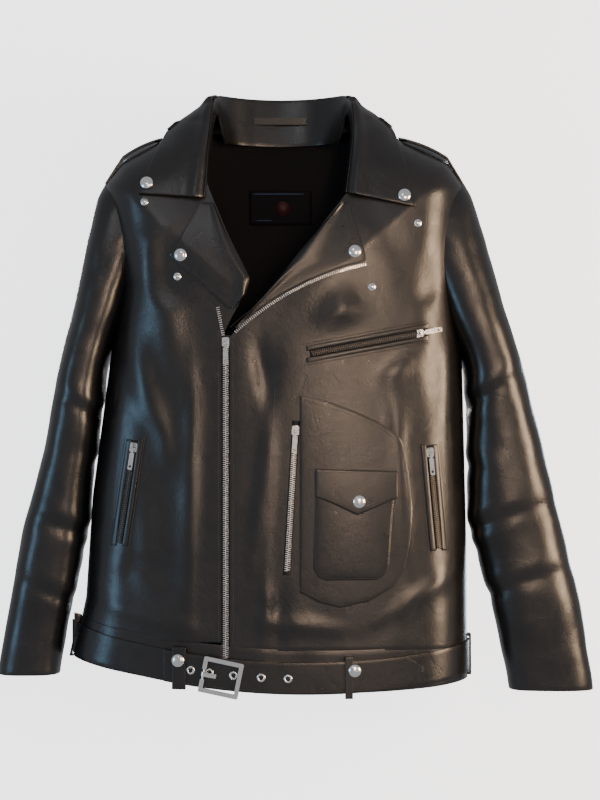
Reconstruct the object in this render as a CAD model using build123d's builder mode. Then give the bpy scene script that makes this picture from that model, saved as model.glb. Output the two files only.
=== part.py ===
"""Asymmetric-zip leather riding jacket, hanging closed, with its hardware.

Frame: X to the wearer's left, Y to the wearer's back, Z up.
The origin is the middle of the neck at the height where a hanger carries the shoulders.
"""
import os
from functools import cache
from math import asin, cos, pi, sin, sqrt

from build123d import *

# ---- driving dimensions, millimetres -------------------------------------------------
HANGER_HEIGHT = 650.0      # from the hem line up to the hanger seat
FRONT_Y = -85.0            # foremost line of the body
BACK_Y = 65.0              # rearmost line of the body
FRONT_R = 900.0            # roundness of the chest, seen from above
BACK_R = 1200.0            # roundness of the back, seen from above
CORNER_R = 30.0            # roundness of the side seams, seen from above
CHEST_TOP = 430.0          # above this the front leans back to the neck
CHEST_R = 700.0
BLADE_TOP = 480.0          # above this the back leans forward to the neck
BLADE_R = 900.0
LEATHER = 2.5              # body leather with its interlining
LINING_GAP = 9.5           # outside of the lining, below the outside of the leather
LINING = 0.8
CLEARANCE = 0.3            # between layers, and round everything that moves
REACH = 400.0              # longer than any extrusion needs
NECK_TOP = 708.0
NECK_SEAM = 672.0
BAND_HEIGHT = 49.0
BELT_WIDTH = 37.0
BELT_LEATHER = 2.5
CAP_R = 7.5
CAP_HEIGHT = 2.6
STUD_R = 4.7
CHAIN_SLOT = 1.6           # gap between the two rows of teeth
CHAIN_TOOTH = 2.2          # width of one row
WINDOW = 10.0              # leather edge to leather edge over a chain
TAPE = 12.0
SLIDER_LENGTH = 11.0
SLIDER_WIDTH = 8.6
PULLER_LENGTH = 25.0
PULLER_WIDTH = 5.6
MAIN_ZIP_X = -59.5
MAIN_ZIP_TOP = 415.0
MAIN_ZIP_BOTTOM = 41.0

# Outline of the body, seen from the front: (x, height above the hem line).
RIGHT_SIDE = [(-245, -80), (-245, 36), (-230, 106), (-222, 228), (-194, 443), (-189, 480)]
RIGHT_SHOULDER = [(-208, 598), (-186, 627), (-137, 655), (-120, 671), (-90, 688), (-79, 708)]
LEFT_SHOULDER = [(85, 708), (95, 692), (130, 672), (142, 656), (204, 627), (224, 598)]
LEFT_SIDE = [(217, 474), (222, 380), (227, 169), (228, 10), (228, -80)]
NECK_OPENING = [(-80, 760), (-85, 637), (-82, 596), (-56, 533), (-30, 480), (-59.5, 415),
                (-50, 419), (15, 501), (51, 545), (81, 584), (86, 616), (92, 657), (88, 760)]
HEM_ARC = [(-262, 41), (-20, 3), (240, 12)]
BELT_ARC = [(-262, 65), (-20, 20), (240, 39)]

# Sleeve sections: (height, inner x, outer x, half depth).
RIGHT_SLEEVE = [(600, -150, -211, 30), (575, -150, -217, 45), (520, -160, -228, 56),
                (450, -180, -245, 60), (390, -203, -257, 58), (289, -217, -279, 52),
                (187, -229, -304, 44), (97, -248, -322, 38), (18, -264, -336, 33)]
LEFT_SLEEVE = [(600, 160, 228, 30), (575, 160, 235, 45), (520, 170, 252, 54),
               (450, 195, 272, 58), (390, 224, 290, 56), (289, 227, 317, 50),
               (187, 230, 344, 44), (97, 258, 365, 38), (-2, 280, 380, 30)]


def z_at(height):
    """Z of a height above the hem line."""
    return height - HANGER_HEIGHT


def on_front(points):
    """Front-view points (x, height) as X and Z."""
    return [(x, z_at(height)) for x, height in points]


def front_surface(x, height):
    """Y of the body's front, and its outward direction, at a front-view point."""
    plan = FRONT_Y + FRONT_R - sqrt(FRONT_R**2 - x**2)
    rise = max(height - CHEST_TOP, 0.0)
    lean = FRONT_Y + CHEST_R - sqrt(CHEST_R**2 - rise**2)
    if plan >= lean:
        turn = asin(x / FRONT_R)
        return plan, Vector(sin(turn), -cos(turn), 0)
    tip = asin(rise / CHEST_R)
    return lean, Vector(0, -cos(tip), sin(tip))


def front_plane(x, height, off=0.0, along=(0, 0, -1)):
    """A plane on the body's front, facing outwards, with its x along a direction."""
    y, out = front_surface(x, height)
    across = Vector(*along).cross(out)
    return Plane(origin=Vector(x, y, z_at(height)) + out * off, x_dir=out.cross(across), z_dir=out)


def chord_plane(start, end):
    """A plane along the straight line between two points on the body's front, facing out."""
    (y_start, out_start), (y_end, out_end) = front_surface(*start), front_surface(*end)
    origin = Vector(start[0], y_start, z_at(start[1]))
    run = Vector(end[0], y_end, z_at(end[1])) - origin
    across = (out_start + out_end).cross(run)
    return Plane(origin=origin, x_dir=run, z_dir=run.cross(across))


@cache
def body_at(off):
    """The solid body of the jacket, grown by a distance off its leather's outside."""
    outline = RIGHT_SIDE + RIGHT_SHOULDER[:-1] + [(-79, 760), (85, 760)]
    outline += LEFT_SHOULDER[1:] + LEFT_SIDE
    with BuildPart() as body:
        with BuildSketch(Plane.XZ):
            with BuildLine():
                Polyline(*on_front(outline), close=True)
            make_face()
            if off:
                offset(amount=off)
        extrude(amount=REACH, both=True)
        with BuildSketch():
            with BuildLine():
                left, right = LEFT_SIDE[-2][0] + 1, RIGHT_SIDE[1][0] - 1
                RadiusArc((right, front_surface(right, 0)[0]), (left, front_surface(left, 0)[0]), -FRONT_R)
                Line((left, front_surface(left, 0)[0]), (left, back_surface(left)))
                RadiusArc((left, back_surface(left)), (right, back_surface(right)), -BACK_R)
                Line((right, back_surface(right)), (right, front_surface(right, 0)[0]))
            make_face()
            fillet(vertices(), radius=CORNER_R)
            if off:
                offset(amount=off)
        extrude(amount=1000, both=True, mode=Mode.INTERSECT)
        with BuildSketch(Plane.YZ):
            with BuildLine():
                top, low = z_at(770), z_at(-100)
                lean = CHEST_R - sqrt(CHEST_R**2 - (770 - CHEST_TOP)**2)
                stoop = BLADE_R - sqrt(BLADE_R**2 - (770 - BLADE_TOP)**2)
                Polyline((FRONT_Y, z_at(CHEST_TOP)), (FRONT_Y, low), (BACK_Y, low), (BACK_Y, z_at(BLADE_TOP)))
                RadiusArc((BACK_Y, z_at(BLADE_TOP)), (BACK_Y - stoop, top), -BLADE_R)
                Line((BACK_Y - stoop, top), (FRONT_Y + lean, top))
                RadiusArc((FRONT_Y + lean, top), (FRONT_Y, z_at(CHEST_TOP)), -CHEST_R)
            make_face()
            if off:
                offset(amount=off)
        extrude(amount=REACH, both=True, mode=Mode.INTERSECT)
    return body.part


def back_surface(x):
    """Y of the body's back, seen from above."""
    return BACK_Y - BACK_R + sqrt(BACK_R**2 - x**2)


def front_outline(points, start, depth):
    """A front-view polygon drawn through a range of Y."""
    with BuildPart() as block:
        with BuildSketch(Plane.XZ.offset(-start)):
            with BuildLine():
                Polyline(*on_front(points), close=True)
            make_face()
        extrude(amount=-depth)
    return block.part


def layer(block, inner, thickness):
    """The part of a block that lies between two distances off the body."""
    with BuildPart() as skin:
        add(block)
        add(body_at(inner + thickness), mode=Mode.INTERSECT)
        add(body_at(inner), mode=Mode.SUBTRACT)
    return skin.part


def front_layer(points, inner, thickness):
    """A front patch: a front-view polygon at a distance off the body, with a thickness."""
    return layer(front_outline(points, -REACH, REACH), inner, thickness)


def raised(points, amount):
    """Front-view points moved up."""
    return [(x, height + amount) for x, height in points]


def arc_block(low_arc, high_arc):
    """Everything between two front-view arcs, through the whole depth."""
    with BuildPart() as block:
        with BuildSketch(Plane.XZ):
            with BuildLine():
                ThreePointArc(*on_front(low_arc))
                Line(*on_front([low_arc[2], high_arc[2]]))
                ThreePointArc(*on_front(high_arc[::-1]))
                Line(*on_front([high_arc[0], low_arc[0]]))
            make_face()
        extrude(amount=REACH, both=True)
    return block.part


def save(part, name):
    """Label a finished piece and write it."""
    part.label = name
    export_step(part, f"parts/{name}.step")


def group(pieces):
    """Several separate solids as one piece."""
    return Compound(children=list(pieces))


os.makedirs("parts", exist_ok=True)


# ---- zips ----------------------------------------------------------------------------
def zip_tapes(plane, length, tape=TAPE):
    """Two strips of tape behind the leather, with a slot between them."""
    with BuildPart() as tapes:
        with BuildSketch(Plane.XY.offset(-LEATHER - CLEARANCE)):
            for side in (-1, 1):
                with Locations((length / 2, side * (CHAIN_SLOT + tape) / 2)):
                    Rectangle(length, tape)
        extrude(amount=-0.8)
    return plane.location * tapes.part


def zip_teeth(plane, length):
    """Two rows of teeth standing on the inner edges of the tapes."""
    with BuildPart() as teeth:
        with BuildSketch(Plane.XY.offset(-LEATHER - CLEARANCE)):
            for side in (-1, 1):
                with Locations((length / 2, side * (CHAIN_SLOT + CHAIN_TOOTH) / 2)):
                    Rectangle(length, CHAIN_TOOTH)
        extrude(amount=2.2)
    return plane.location * teeth.part


BAIL_LIFT = 2.7            # middle of the bail pin, above the leather
CHEST_BAIL_LIFT = 4.3      # the straight chain lies behind the chest's curve, so its bail stands taller
BAIL_R = 0.6


def zip_slider(plane, hang, bail_lift):
    """Top and bottom plates joined through the slot, and a bail with its pin."""
    with BuildPart() as slider:
        with BuildSketch(Plane.XY.offset(-CLEARANCE)):
            with Locations((SLIDER_LENGTH / 2, 0)):
                RectangleRounded(SLIDER_LENGTH, SLIDER_WIDTH, 2.0)
        extrude(amount=1.2)
        with BuildSketch(Plane.XY.offset(-LEATHER - 1.4)):
            with Locations((SLIDER_LENGTH / 2, 0)):
                RectangleRounded(SLIDER_LENGTH, SLIDER_WIDTH, 2.0)
        extrude(amount=-1.1)
        with BuildSketch(Plane.XY.offset(-LEATHER - 1.5)):
            with Locations((SLIDER_LENGTH / 2, 0)):
                Rectangle(5.0, CHAIN_SLOT - 2 * CLEARANCE)
        extrude(amount=LEATHER + 1.3)
        with BuildSketch(Plane.XY.offset(0.8)):
            with Locations((bail_position(hang), 2.3), (bail_position(hang), -2.3)):
                Rectangle(2.4, 1.0)
        extrude(amount=bail_lift + 0.1)
        with BuildSketch(Plane.XZ.offset(-2.3)):
            with Locations((bail_position(hang), bail_lift)):
                Circle(BAIL_R)
        extrude(amount=4.6)
    return plane.location * slider.part


def bail_position(hang):
    """Where the bail pin stands along the slider."""
    return SLIDER_LENGTH / 2 + hang * 1.5


def zip_puller(plane, hang, bail_lift):
    """A flat tongue with a ring round the bail pin and a hole at its end."""
    start = bail_position(hang)
    with BuildPart() as puller:
        with BuildSketch(Plane.XZ.offset(-1.4)):
            with Locations((start, bail_lift)):
                Circle(BAIL_R + CLEARANCE + 0.6)
        extrude(amount=2.8)
        with BuildSketch(Plane.XY.offset(bail_lift - 0.6)):
            with Locations((start + hang * 3.3, 0)):
                Rectangle(4.6, 2.8)
            with Locations((start + hang * (5.0 + (PULLER_LENGTH - 5.0) / 2), 0)):
                RectangleRounded(PULLER_LENGTH - 5.0, PULLER_WIDTH, 1.2)
            with Locations((start + hang * (PULLER_LENGTH - 4.0), 0)):
                Circle(1.5, mode=Mode.SUBTRACT)
        extrude(amount=1.2)
        with BuildSketch(Plane.XZ.offset(-3)):
            with Locations((start, bail_lift)):
                Circle(BAIL_R + CLEARANCE)
        extrude(amount=6, mode=Mode.SUBTRACT)
    return plane.location * puller.part


def window(plane, length):
    """The opening in the leather over a chain."""
    with BuildPart() as opening:
        with BuildSketch(Plane.XY.offset(-20)):
            with Locations((length / 2, 0)):
                Rectangle(length + 2, WINDOW)
        extrude(amount=40)
    return plane.location * opening.part


def welts(plane, length, width, inner):
    """A folded lip of leather along each side of a chain's opening."""
    lips = []
    for side in (-1, 1):
        with BuildPart() as lip:
            with BuildSketch(Plane.XY.offset(-20)):
                with Locations((length / 2, side * (WINDOW + width) / 2)):
                    Rectangle(length + 8, width)
            extrude(amount=40)
        lips.append(layer(plane.location * lip.part, inner, 1.4))
    return lips


main_plane = chord_plane((MAIN_ZIP_X, MAIN_ZIP_TOP), (MAIN_ZIP_X, MAIN_ZIP_BOTTOM))
main_length = MAIN_ZIP_TOP - MAIN_ZIP_BOTTOM
d_plane = chord_plane((22, 312), (12, 143))
D_LENGTH = 170.0
chest_plane = chord_plane((172, 421), (40, 396))
CHEST_LENGTH = 134.0
right_hand_plane = chord_plane((-167, 292), (-185, 175))
left_hand_plane = chord_plane((179, 286), (190, 169))
HAND_LENGTH = 118.0


def cuff_plane(sections):
    """The plane of a cuff zip, on the back of the sleeve, running up from the cuff."""
    (low, inner, outer, depth), (high, inner_up, outer_up, depth_up) = sections[-1], sections[-2]
    start = Vector((inner + outer) / 2, depth - 1.2, z_at(low))
    end = Vector((inner_up + outer_up) / 2, depth_up - 1.2, z_at(high))
    run = end - start
    out = run.cross(Vector(1, 0, 0))
    if out.Y < 0:
        out = out * -1
    return Plane(origin=start + run.normalized() * 12, x_dir=run, z_dir=out)


right_cuff_plane = cuff_plane(RIGHT_SLEEVE)
left_cuff_plane = cuff_plane(LEFT_SLEEVE)
CUFF_LENGTH = 62.0
CUFF_TAPE = 5.5

ZIPS = {
    "main": (main_plane, 1, BAIL_LIFT),
    "d_pocket": (d_plane, 1, BAIL_LIFT),
    "chest": (chest_plane, -1, CHEST_BAIL_LIFT),
    "right_hand": (right_hand_plane, 1, BAIL_LIFT),
    "left_hand": (left_hand_plane, 1, BAIL_LIFT),
    "right_cuff": (right_cuff_plane, -1, BAIL_LIFT),
    "left_cuff": (left_cuff_plane, -1, BAIL_LIFT),
}
for zip_name, (zip_plane, hang_way, bail_height) in ZIPS.items():
    save(zip_slider(zip_plane, hang_way, bail_height), f"{zip_name}_zip_slider")
    save(zip_puller(zip_plane, hang_way, bail_height), f"{zip_name}_zip_puller")

save(zip_tapes(main_plane, main_length), "main_zip_tapes")
save(zip_teeth(main_plane, main_length), "main_zip_teeth")
hand_planes = (right_hand_plane, left_hand_plane)
pocket_zips = [("d_pocket_zip", [d_plane], D_LENGTH), ("chest_zip", [chest_plane], CHEST_LENGTH),
               ("hand_pocket_zips", hand_planes, HAND_LENGTH)]
for zip_name, planes, length in pocket_zips:
    strips = [zip_tapes(plane, length) + zip_teeth(plane, length) for plane in planes]
    save(group(strip for joined in strips for strip in joined.solids()), zip_name)
for zip_name, plane in (("right_cuff_zip", right_cuff_plane), ("left_cuff_zip", left_cuff_plane)):
    strip = zip_tapes(plane, CUFF_LENGTH, CUFF_TAPE) + zip_teeth(plane, CUFF_LENGTH)
    save(group(strip.solids()), zip_name)


# ---- sleeves -------------------------------------------------------------------------
def sleeve_loft(sections, wall):
    """A sleeve's tube, lofted through level oval sections."""
    with BuildPart() as tube:
        for height, inner, outer, depth in sections:
            with BuildSketch(Plane.XY.offset(z_at(height))):
                with BuildLine():
                    half = abs(outer - inner) / 2 - wall
                    rim = [((inner + outer) / 2 + half * cos(turn * pi / 6), (depth - wall) * sin(turn * pi / 6))
                           for turn in range(12)]
                    Spline(*rim, periodic=True)
                make_face()
        loft(ruled=True)
    return tube.part


def sleeve_hollow(sections):
    """The inside of a sleeve, open past the cuff."""
    low, inner, outer, depth = sections[-1]
    high, inner_up, outer_up, depth_up = sections[-2]
    reach = 40.0 / (high - low)
    past = (low - 40, inner - (inner_up - inner) * reach, outer - (outer_up - outer) * reach,
            depth - (depth_up - depth) * reach)
    return sleeve_loft(sections + [past], LEATHER)


def sleeve_halves(sections):
    """The top sleeve and the under sleeve, meeting along a seam in front and behind."""
    side = 1 if sections[-1][2] > 0 else -1
    share = 0.4
    seam = [(inner + (outer - inner) * share, height) for height, inner, outer, _ in sections]
    seam = [(side * 218, 640)] + seam[1:] + [(seam[-1][0], -60)]
    far, near = side * 500, 0
    tube = sleeve_loft(sections, 0) - sleeve_hollow(sections) - body_at(CLEARANCE)
    return [tube & front_outline(seam + [(edge, -60), (edge, 640)], -REACH, 2 * REACH) for edge in (far, near)]


right_hollow = sleeve_hollow(RIGHT_SLEEVE)
left_hollow = sleeve_hollow(LEFT_SLEEVE)
for side_name, sections, plane in (("right", RIGHT_SLEEVE, right_cuff_plane),
                                   ("left", LEFT_SLEEVE, left_cuff_plane)):
    top_half, under_half = sleeve_halves(sections)
    slit = window(plane, CUFF_LENGTH)
    save(top_half - slit, f"{side_name}_top_sleeve")
    save(under_half - slit, f"{side_name}_under_sleeve")


# ---- body panels and lining ----------------------------------------------------------
def body_panel(points, start, depth, inner, thickness, cuts):
    """A panel of the body: a front-view outline through a range of Y, with its openings."""
    panel = layer(front_outline(points, start, depth), inner, thickness)
    panel -= arc_block(raised(HEM_ARC, -300), raised(HEM_ARC, BAND_HEIGHT + CLEARANCE))
    for cut in cuts:
        panel -= cut
    return panel


opening = front_outline(NECK_OPENING, -REACH, REACH)
full_view = [(-300, -60), (300, -60), (300, NECK_SEAM), (-300, NECK_SEAM)]
right_edge, left_edge = MAIN_ZIP_X - WINDOW / 2, MAIN_ZIP_X + WINDOW / 2
LAP_X = -20.0              # inside the neck opening, between the two fronts
right_view = [(-300, -60), (right_edge, -60), (right_edge, MAIN_ZIP_TOP + 2), (LAP_X, 470),
              (LAP_X, NECK_SEAM), (-300, NECK_SEAM)]
left_view = [(left_edge, -60), (300, -60), (300, NECK_SEAM), (LAP_X, NECK_SEAM), (LAP_X, 470),
             (left_edge, MAIN_ZIP_TOP + 10)]
sleeves_out = [right_hollow, left_hollow]

save(body_panel(full_view, 0, REACH, -LEATHER, LEATHER, sleeves_out), "back_panel")
save(body_panel(right_view, -REACH, REACH, -LEATHER, LEATHER,
                sleeves_out + [opening, window(right_hand_plane, HAND_LENGTH)]), "right_front")
left_windows = [window(left_hand_plane, HAND_LENGTH), window(chest_plane, CHEST_LENGTH),
                window(d_plane, D_LENGTH)]
save(body_panel(left_view, -REACH, REACH, -LEATHER, LEATHER,
                sleeves_out + [opening] + left_windows), "left_front")


def lining_panel(points, start, depth, cuts):
    """A lining piece, from inside the neck seam down into the waistband."""
    panel = layer(front_outline(points, start, depth), -LINING_GAP - LINING, LINING)
    panel -= arc_block(raised(HEM_ARC, -300), raised(HEM_ARC, 8))
    for cut in cuts:
        panel -= cut
    return panel


save(lining_panel(full_view, 0, REACH, sleeves_out), "back_lining")
save(group([lining_panel(right_view, -REACH, REACH, sleeves_out + [opening]),
            lining_panel(left_view, -REACH, REACH, sleeves_out + [opening])]), "front_linings")

band_ring = (arc_block(HEM_ARC, raised(HEM_ARC, BAND_HEIGHT)) & body_at(0)) - body_at(CLEARANCE - LINING_GAP)
band_fold = body_at(-LEATHER) & arc_block(raised(HEM_ARC, LEATHER), raised(HEM_ARC, BAND_HEIGHT + 10))
band_fold -= body_at(CLEARANCE - LINING_GAP + 2.0)
with BuildPart() as waistband:
    add(band_ring)
    add(band_fold, mode=Mode.SUBTRACT)
    with BuildSketch(Plane.XZ):
        with Locations((MAIN_ZIP_X, z_at(0))):
            Rectangle(2 * CLEARANCE + SLIDER_WIDTH, 400)
    extrude(amount=REACH, mode=Mode.SUBTRACT)
save(waistband.part, "waistband")

# ---- collar, lapels and epaulettes ---------------------------------------------------
LEAF_OFF = 2.8
LEAF = 2.5
LAPEL_OFF = CLEARANCE
LAPEL = 2.2
LEAF_BACK = -25.0
FOLD_GAP = 0.8             # between a leaf and the back collar that it hinges beside
FALL_BOTTOM = 645.0
neck_view = [(-150, NECK_SEAM), (150, NECK_SEAM), (150, NECK_TOP), (-150, NECK_TOP)]
fall_view = [(-128, FALL_BOTTOM + 10), (-60, FALL_BOTTOM), (66, FALL_BOTTOM), (134, FALL_BOTTOM + 10),
             (160, NECK_TOP), (-160, NECK_TOP)]
fold_view = [(-160, NECK_TOP), (160, NECK_TOP), (160, NECK_TOP + LEATHER), (-160, NECK_TOP + LEATHER)]
stand = layer(front_outline(neck_view, -REACH, 2 * REACH), -LEATHER, LEATHER)
fall = layer(front_outline(fall_view, LEAF_BACK, REACH), LEAF_OFF, LEAF)
fold_cap = layer(front_outline(fold_view, LEAF_BACK, REACH), -LEATHER, LEAF_OFF + LEAF + LEATHER)
with BuildPart() as back_collar:
    add([stand, fall, fold_cap])
    add(opening, mode=Mode.SUBTRACT)
save(back_collar.part, "back_collar")

RIGHT_LEAF = [(-79, 712), (-88, 637), (-86, 578), (-163, 584), (-134, 662), (-120, 690)]
LEFT_LEAF = [(90, 712), (94, 657), (88, 616), (82, 584), (162, 568), (150, 613), (138, 668), (124, 700)]
for leaf_name, points in (("right_collar_leaf", RIGHT_LEAF), ("left_collar_leaf", LEFT_LEAF)):
    leaf_block = front_outline(points, -REACH, REACH + LEAF_BACK - FOLD_GAP)
    save(layer(leaf_block, LEAF_OFF, LEAF), leaf_name)

LAPEL_TOP = 573.0
save(front_layer([(-74, LAPEL_TOP), (-57, 533), (-32, 484), (-37, 464), (-55, 448), (-125, 511),
                  (-89, LAPEL_TOP)], LAPEL_OFF, LAPEL), "right_lapel")
ZIP_EDGE = [(-50, 424), (8, 467), (103, 504)]


def edge_strip(arc, other_side):
    """A front-view block between an arc and a list of points that closes it."""
    with BuildPart() as block:
        with BuildSketch(Plane.XZ):
            with BuildLine():
                ThreePointArc(*on_front(arc))
                Polyline(*on_front([arc[2]] + other_side + [arc[0]]))
            make_face()
        extrude(amount=REACH)
    return block.part


save(layer(edge_strip(ZIP_EDGE, [(84, LAPEL_TOP), (76, LAPEL_TOP), (51, 543), (15, 499)]),
           LAPEL_OFF, LAPEL), "left_lapel")
with BuildPart() as lapel_teeth:
    with BuildSketch(Plane.XZ):
        with BuildLine():
            ThreePointArc(*on_front([(x + 1.2, h - 5.0) for x, h in ZIP_EDGE]))
            Line(*on_front([(ZIP_EDGE[2][0] + 1.2, ZIP_EDGE[2][1] - 5.0), ZIP_EDGE[2]]))
            ThreePointArc(*on_front(ZIP_EDGE[::-1]))
            Line(*on_front([ZIP_EDGE[0], (ZIP_EDGE[0][0] + 1.2, ZIP_EDGE[0][1] - 5.0)]))
        make_face()
    extrude(amount=REACH)
save(layer(lapel_teeth.part, LAPEL_OFF, LAPEL + 0.8), "left_lapel_zip_teeth")

EPAULETTE_HALF = 19.0
for side_name, near, far in (("right", -139, -205), ("left", 145, 221)):
    view = [(near, 600), (near, 690), (far, 690), (far, 600)]
    strap = front_outline(view, -EPAULETTE_HALF, 2 * EPAULETTE_HALF)
    save(layer(strap, CLEARANCE, LEATHER), f"{side_name}_epaulette")

# ---- pocket panels -------------------------------------------------------------------
D_OFF = CLEARANCE
D_SHEET = 1.6
POUCH_OFF = D_OFF + D_SHEET + CLEARANCE
POUCH = 3.4
FLAP_OFF = POUCH_OFF + POUCH + CLEARANCE
FLAP = 2.0
FLAP_TOP = 262.0
with BuildPart() as d_block:
    with BuildSketch(Plane.XZ):
        with BuildLine():
            Polyline(*on_front([(27, 118), (27, 347), (55, 342)]))
            ThreePointArc(*on_front([(55, 342), (118, 317), (147, 293)]))
            Line(*on_front([(147, 293), (158, 215)]))
            ThreePointArc(*on_front([(158, 215), (138, 126), (74, 100)]))
            Line(*on_front([(74, 100), (27, 118)]))
        make_face()
    extrude(amount=REACH)
save(layer(d_block.part, D_OFF, D_SHEET), "d_pocket_panel")
with BuildPart() as pouch_block:
    with BuildSketch(Plane.XZ):
        with BuildLine():
            Polyline(*on_front([(45, 256), (41, 132), (131, 132), (139, 256)]), close=True)
        make_face()
        fillet(vertices().group_by(Axis.Y)[0], radius=16)
    extrude(amount=REACH)
save(layer(pouch_block.part, POUCH_OFF, POUCH), "flap_pocket_pouch")
save(front_layer([(45, FLAP_TOP), (142, FLAP_TOP), (142, 228), (94, 208), (45, 230)], FLAP_OFF, FLAP),
     "pocket_flap")
save(group(welts(chest_plane, CHEST_LENGTH, 5.0, CLEARANCE)), "chest_pocket_welts")
save(group(welts(right_hand_plane, HAND_LENGTH, 5.0, CLEARANCE)
           + welts(left_hand_plane, HAND_LENGTH, 5.0, CLEARANCE)), "hand_pocket_welts")

# ---- belt ----------------------------------------------------------------------------
STRAP_OFF = CLEARANCE
END_OFF = STRAP_OFF + BELT_LEATHER + CLEARANCE
BELT_FACE = END_OFF + BELT_LEATHER
LOOP_OFF = BELT_FACE + CLEARANCE
belt_block = arc_block(raised(BELT_ARC, -BELT_WIDTH / 2), raised(BELT_ARC, BELT_WIDTH / 2))
END_START = -130.0
TIP_X = 171.0
end_view = [(END_START, -20), (TIP_X - 16, -20), (TIP_X - 16, 14), (TIP_X, 32), (TIP_X - 16, 50),
            (TIP_X - 16, 90), (END_START, 90)]
strap_ring = layer(belt_block, STRAP_OFF, BELT_LEATHER)
strap_end = layer(belt_block & front_outline(end_view, -REACH, REACH), END_OFF, BELT_LEATHER)
save(group([strap_ring, strap_end]), "belt_strap")


def belt_height(x):
    """Height of the belt's middle at x, on its front arc."""
    with BuildLine() as belt_line:
        ThreePointArc(*BELT_ARC)
    reach = Edge.make_line((x, -200), (x, 300))
    return belt_line.edge().distance_to_with_closest_points(reach)[1].Y


def strap_loop(x, width, inner, thickness):
    """A keeper over the belt, with its two ends turned in to the waistband."""
    middle = belt_height(x)
    half = BELT_WIDTH / 2 + 3
    view = [(x - width / 2, middle - half - 3), (x + width / 2, middle - half - 3),
            (x + width / 2, middle + half + 3), (x - width / 2, middle + half + 3)]
    inside = [(x - width, middle - half), (x + width, middle - half),
              (x + width, middle + half), (x - width, middle + half)]
    over = front_layer(view, inner, thickness)
    ends = front_layer(view, CLEARANCE, inner + thickness - CLEARANCE)
    return over + (ends - front_outline(inside, -REACH, REACH))


def side_loop(x, width):
    """A keeper at a side seam, round the outside of the belt."""
    middle = belt_height(x)
    half = BELT_WIDTH / 2 + 3
    block = front_outline([(x - 30, middle - half - 3), (x + 30, middle - half - 3),
                           (x + 30, middle + half + 3), (x - 30, middle + half + 3)], -width / 2, width)
    inner = END_OFF
    over = layer(block, inner, 1.8)
    ends = layer(block, CLEARANCE, inner + 1.8 - CLEARANCE)
    gap = front_outline([(-400, middle - half), (400, middle - half), (400, middle + half),
                         (-400, middle + half)], -50, 100)
    return over + (ends - gap)


loops = [strap_loop(-114, 16, LOOP_OFF, 1.8), strap_loop(84, 9, LOOP_OFF, 1.8),
         side_loop(-243, 14), side_loop(229, 14)]
save(group(loops), "belt_loops")

EYELET_R = 5.2
eyelets = []
for x in (-99.5, -78, -50, -18, 13):
    eyelet_plane = front_plane(x, belt_height(x), BELT_FACE + 0.1)
    with BuildPart() as eyelet:
        with BuildSketch(eyelet_plane):
            Circle(EYELET_R)
            Circle(EYELET_R / 2, mode=Mode.SUBTRACT)
        extrude(amount=0.8)
    eyelets.append(eyelet.part)
save(group(eyelets), "belt_eyelets")

# ---- buckle --------------------------------------------------------------------------
BUCKLE_WIDTH = 47.0
BUCKLE_HEIGHT = 42.0
BUCKLE_BAR = 5.0
BUCKLE_THICK = 3.0
BUCKLE_OFF = BELT_FACE + CLEARANCE + 1.5
HINGE_BAR_R = 1.7
buckle_plane = front_plane(-64, 20, BUCKLE_OFF, along=(cos(0.2), 0, -sin(0.2)))
with BuildPart() as frame:
    with BuildSketch(buckle_plane):
        RectangleRounded(BUCKLE_WIDTH, BUCKLE_HEIGHT, 2.0)
        RectangleRounded(BUCKLE_WIDTH - 2 * BUCKLE_BAR, BUCKLE_HEIGHT - 2 * BUCKLE_BAR, 1.0,
                         mode=Mode.SUBTRACT)
        with Locations((-BUCKLE_WIDTH / 2 + BUCKLE_BAR / 2, 0)):
            Rectangle(BUCKLE_BAR + 2, 12, mode=Mode.SUBTRACT)
    extrude(amount=BUCKLE_THICK)
    bar_plane = Plane(origin=buckle_plane.from_local_coords((-BUCKLE_WIDTH / 2 + BUCKLE_BAR / 2, -8,
                                                             BUCKLE_THICK / 2)),
                      z_dir=buckle_plane.y_dir)
    with BuildSketch(bar_plane):
        Circle(HINGE_BAR_R - 0.3)
    extrude(amount=16)
save(frame.part, "buckle_frame")
ring_plane = Plane(origin=bar_plane.origin + buckle_plane.y_dir * 5.5, x_dir=buckle_plane.x_dir,
                   z_dir=buckle_plane.y_dir)
with BuildPart() as prong:
    with BuildSketch(ring_plane):
        Circle(HINGE_BAR_R + 1.0)
        with BuildLine():
            out = -1 if ring_plane.y_dir.dot(buckle_plane.z_dir) < 0 else 1
            Polyline((0, out * 2.6), (6, out * 2.4), (15, -out * 0.6), (15, -out * 2.4), (7, out * 0.4),
                     (0, out * 0.6), close=True)
        make_face()
        Circle(HINGE_BAR_R, mode=Mode.SUBTRACT)
    extrude(amount=5)
save(prong.part, "buckle_prong")


# ---- snaps ---------------------------------------------------------------------------
def snap_cap(x, height, off):
    """A snap cap as a shallow stepped dome."""
    plane = front_plane(x, height, off + 0.1)
    with BuildPart() as button:
        with BuildSketch(plane):
            Circle(CAP_R)
        extrude(amount=CAP_HEIGHT * 0.5)
        with BuildSketch(plane.offset(CAP_HEIGHT * 0.5)):
            Circle(CAP_R)
        extrude(amount=CAP_HEIGHT * 0.5, taper=35)
    return button.part


def snap_stud(x, height, off):
    """The male half of a snap: a flange and a post."""
    plane = front_plane(x, height, off + 0.1)
    with BuildPart() as stud:
        with BuildSketch(plane):
            Circle(STUD_R)
        extrude(amount=0.9)
        with BuildSketch(plane.offset(0.9)):
            Circle(STUD_R * 0.55)
        extrude(amount=1.8)
    return stud.part


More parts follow.
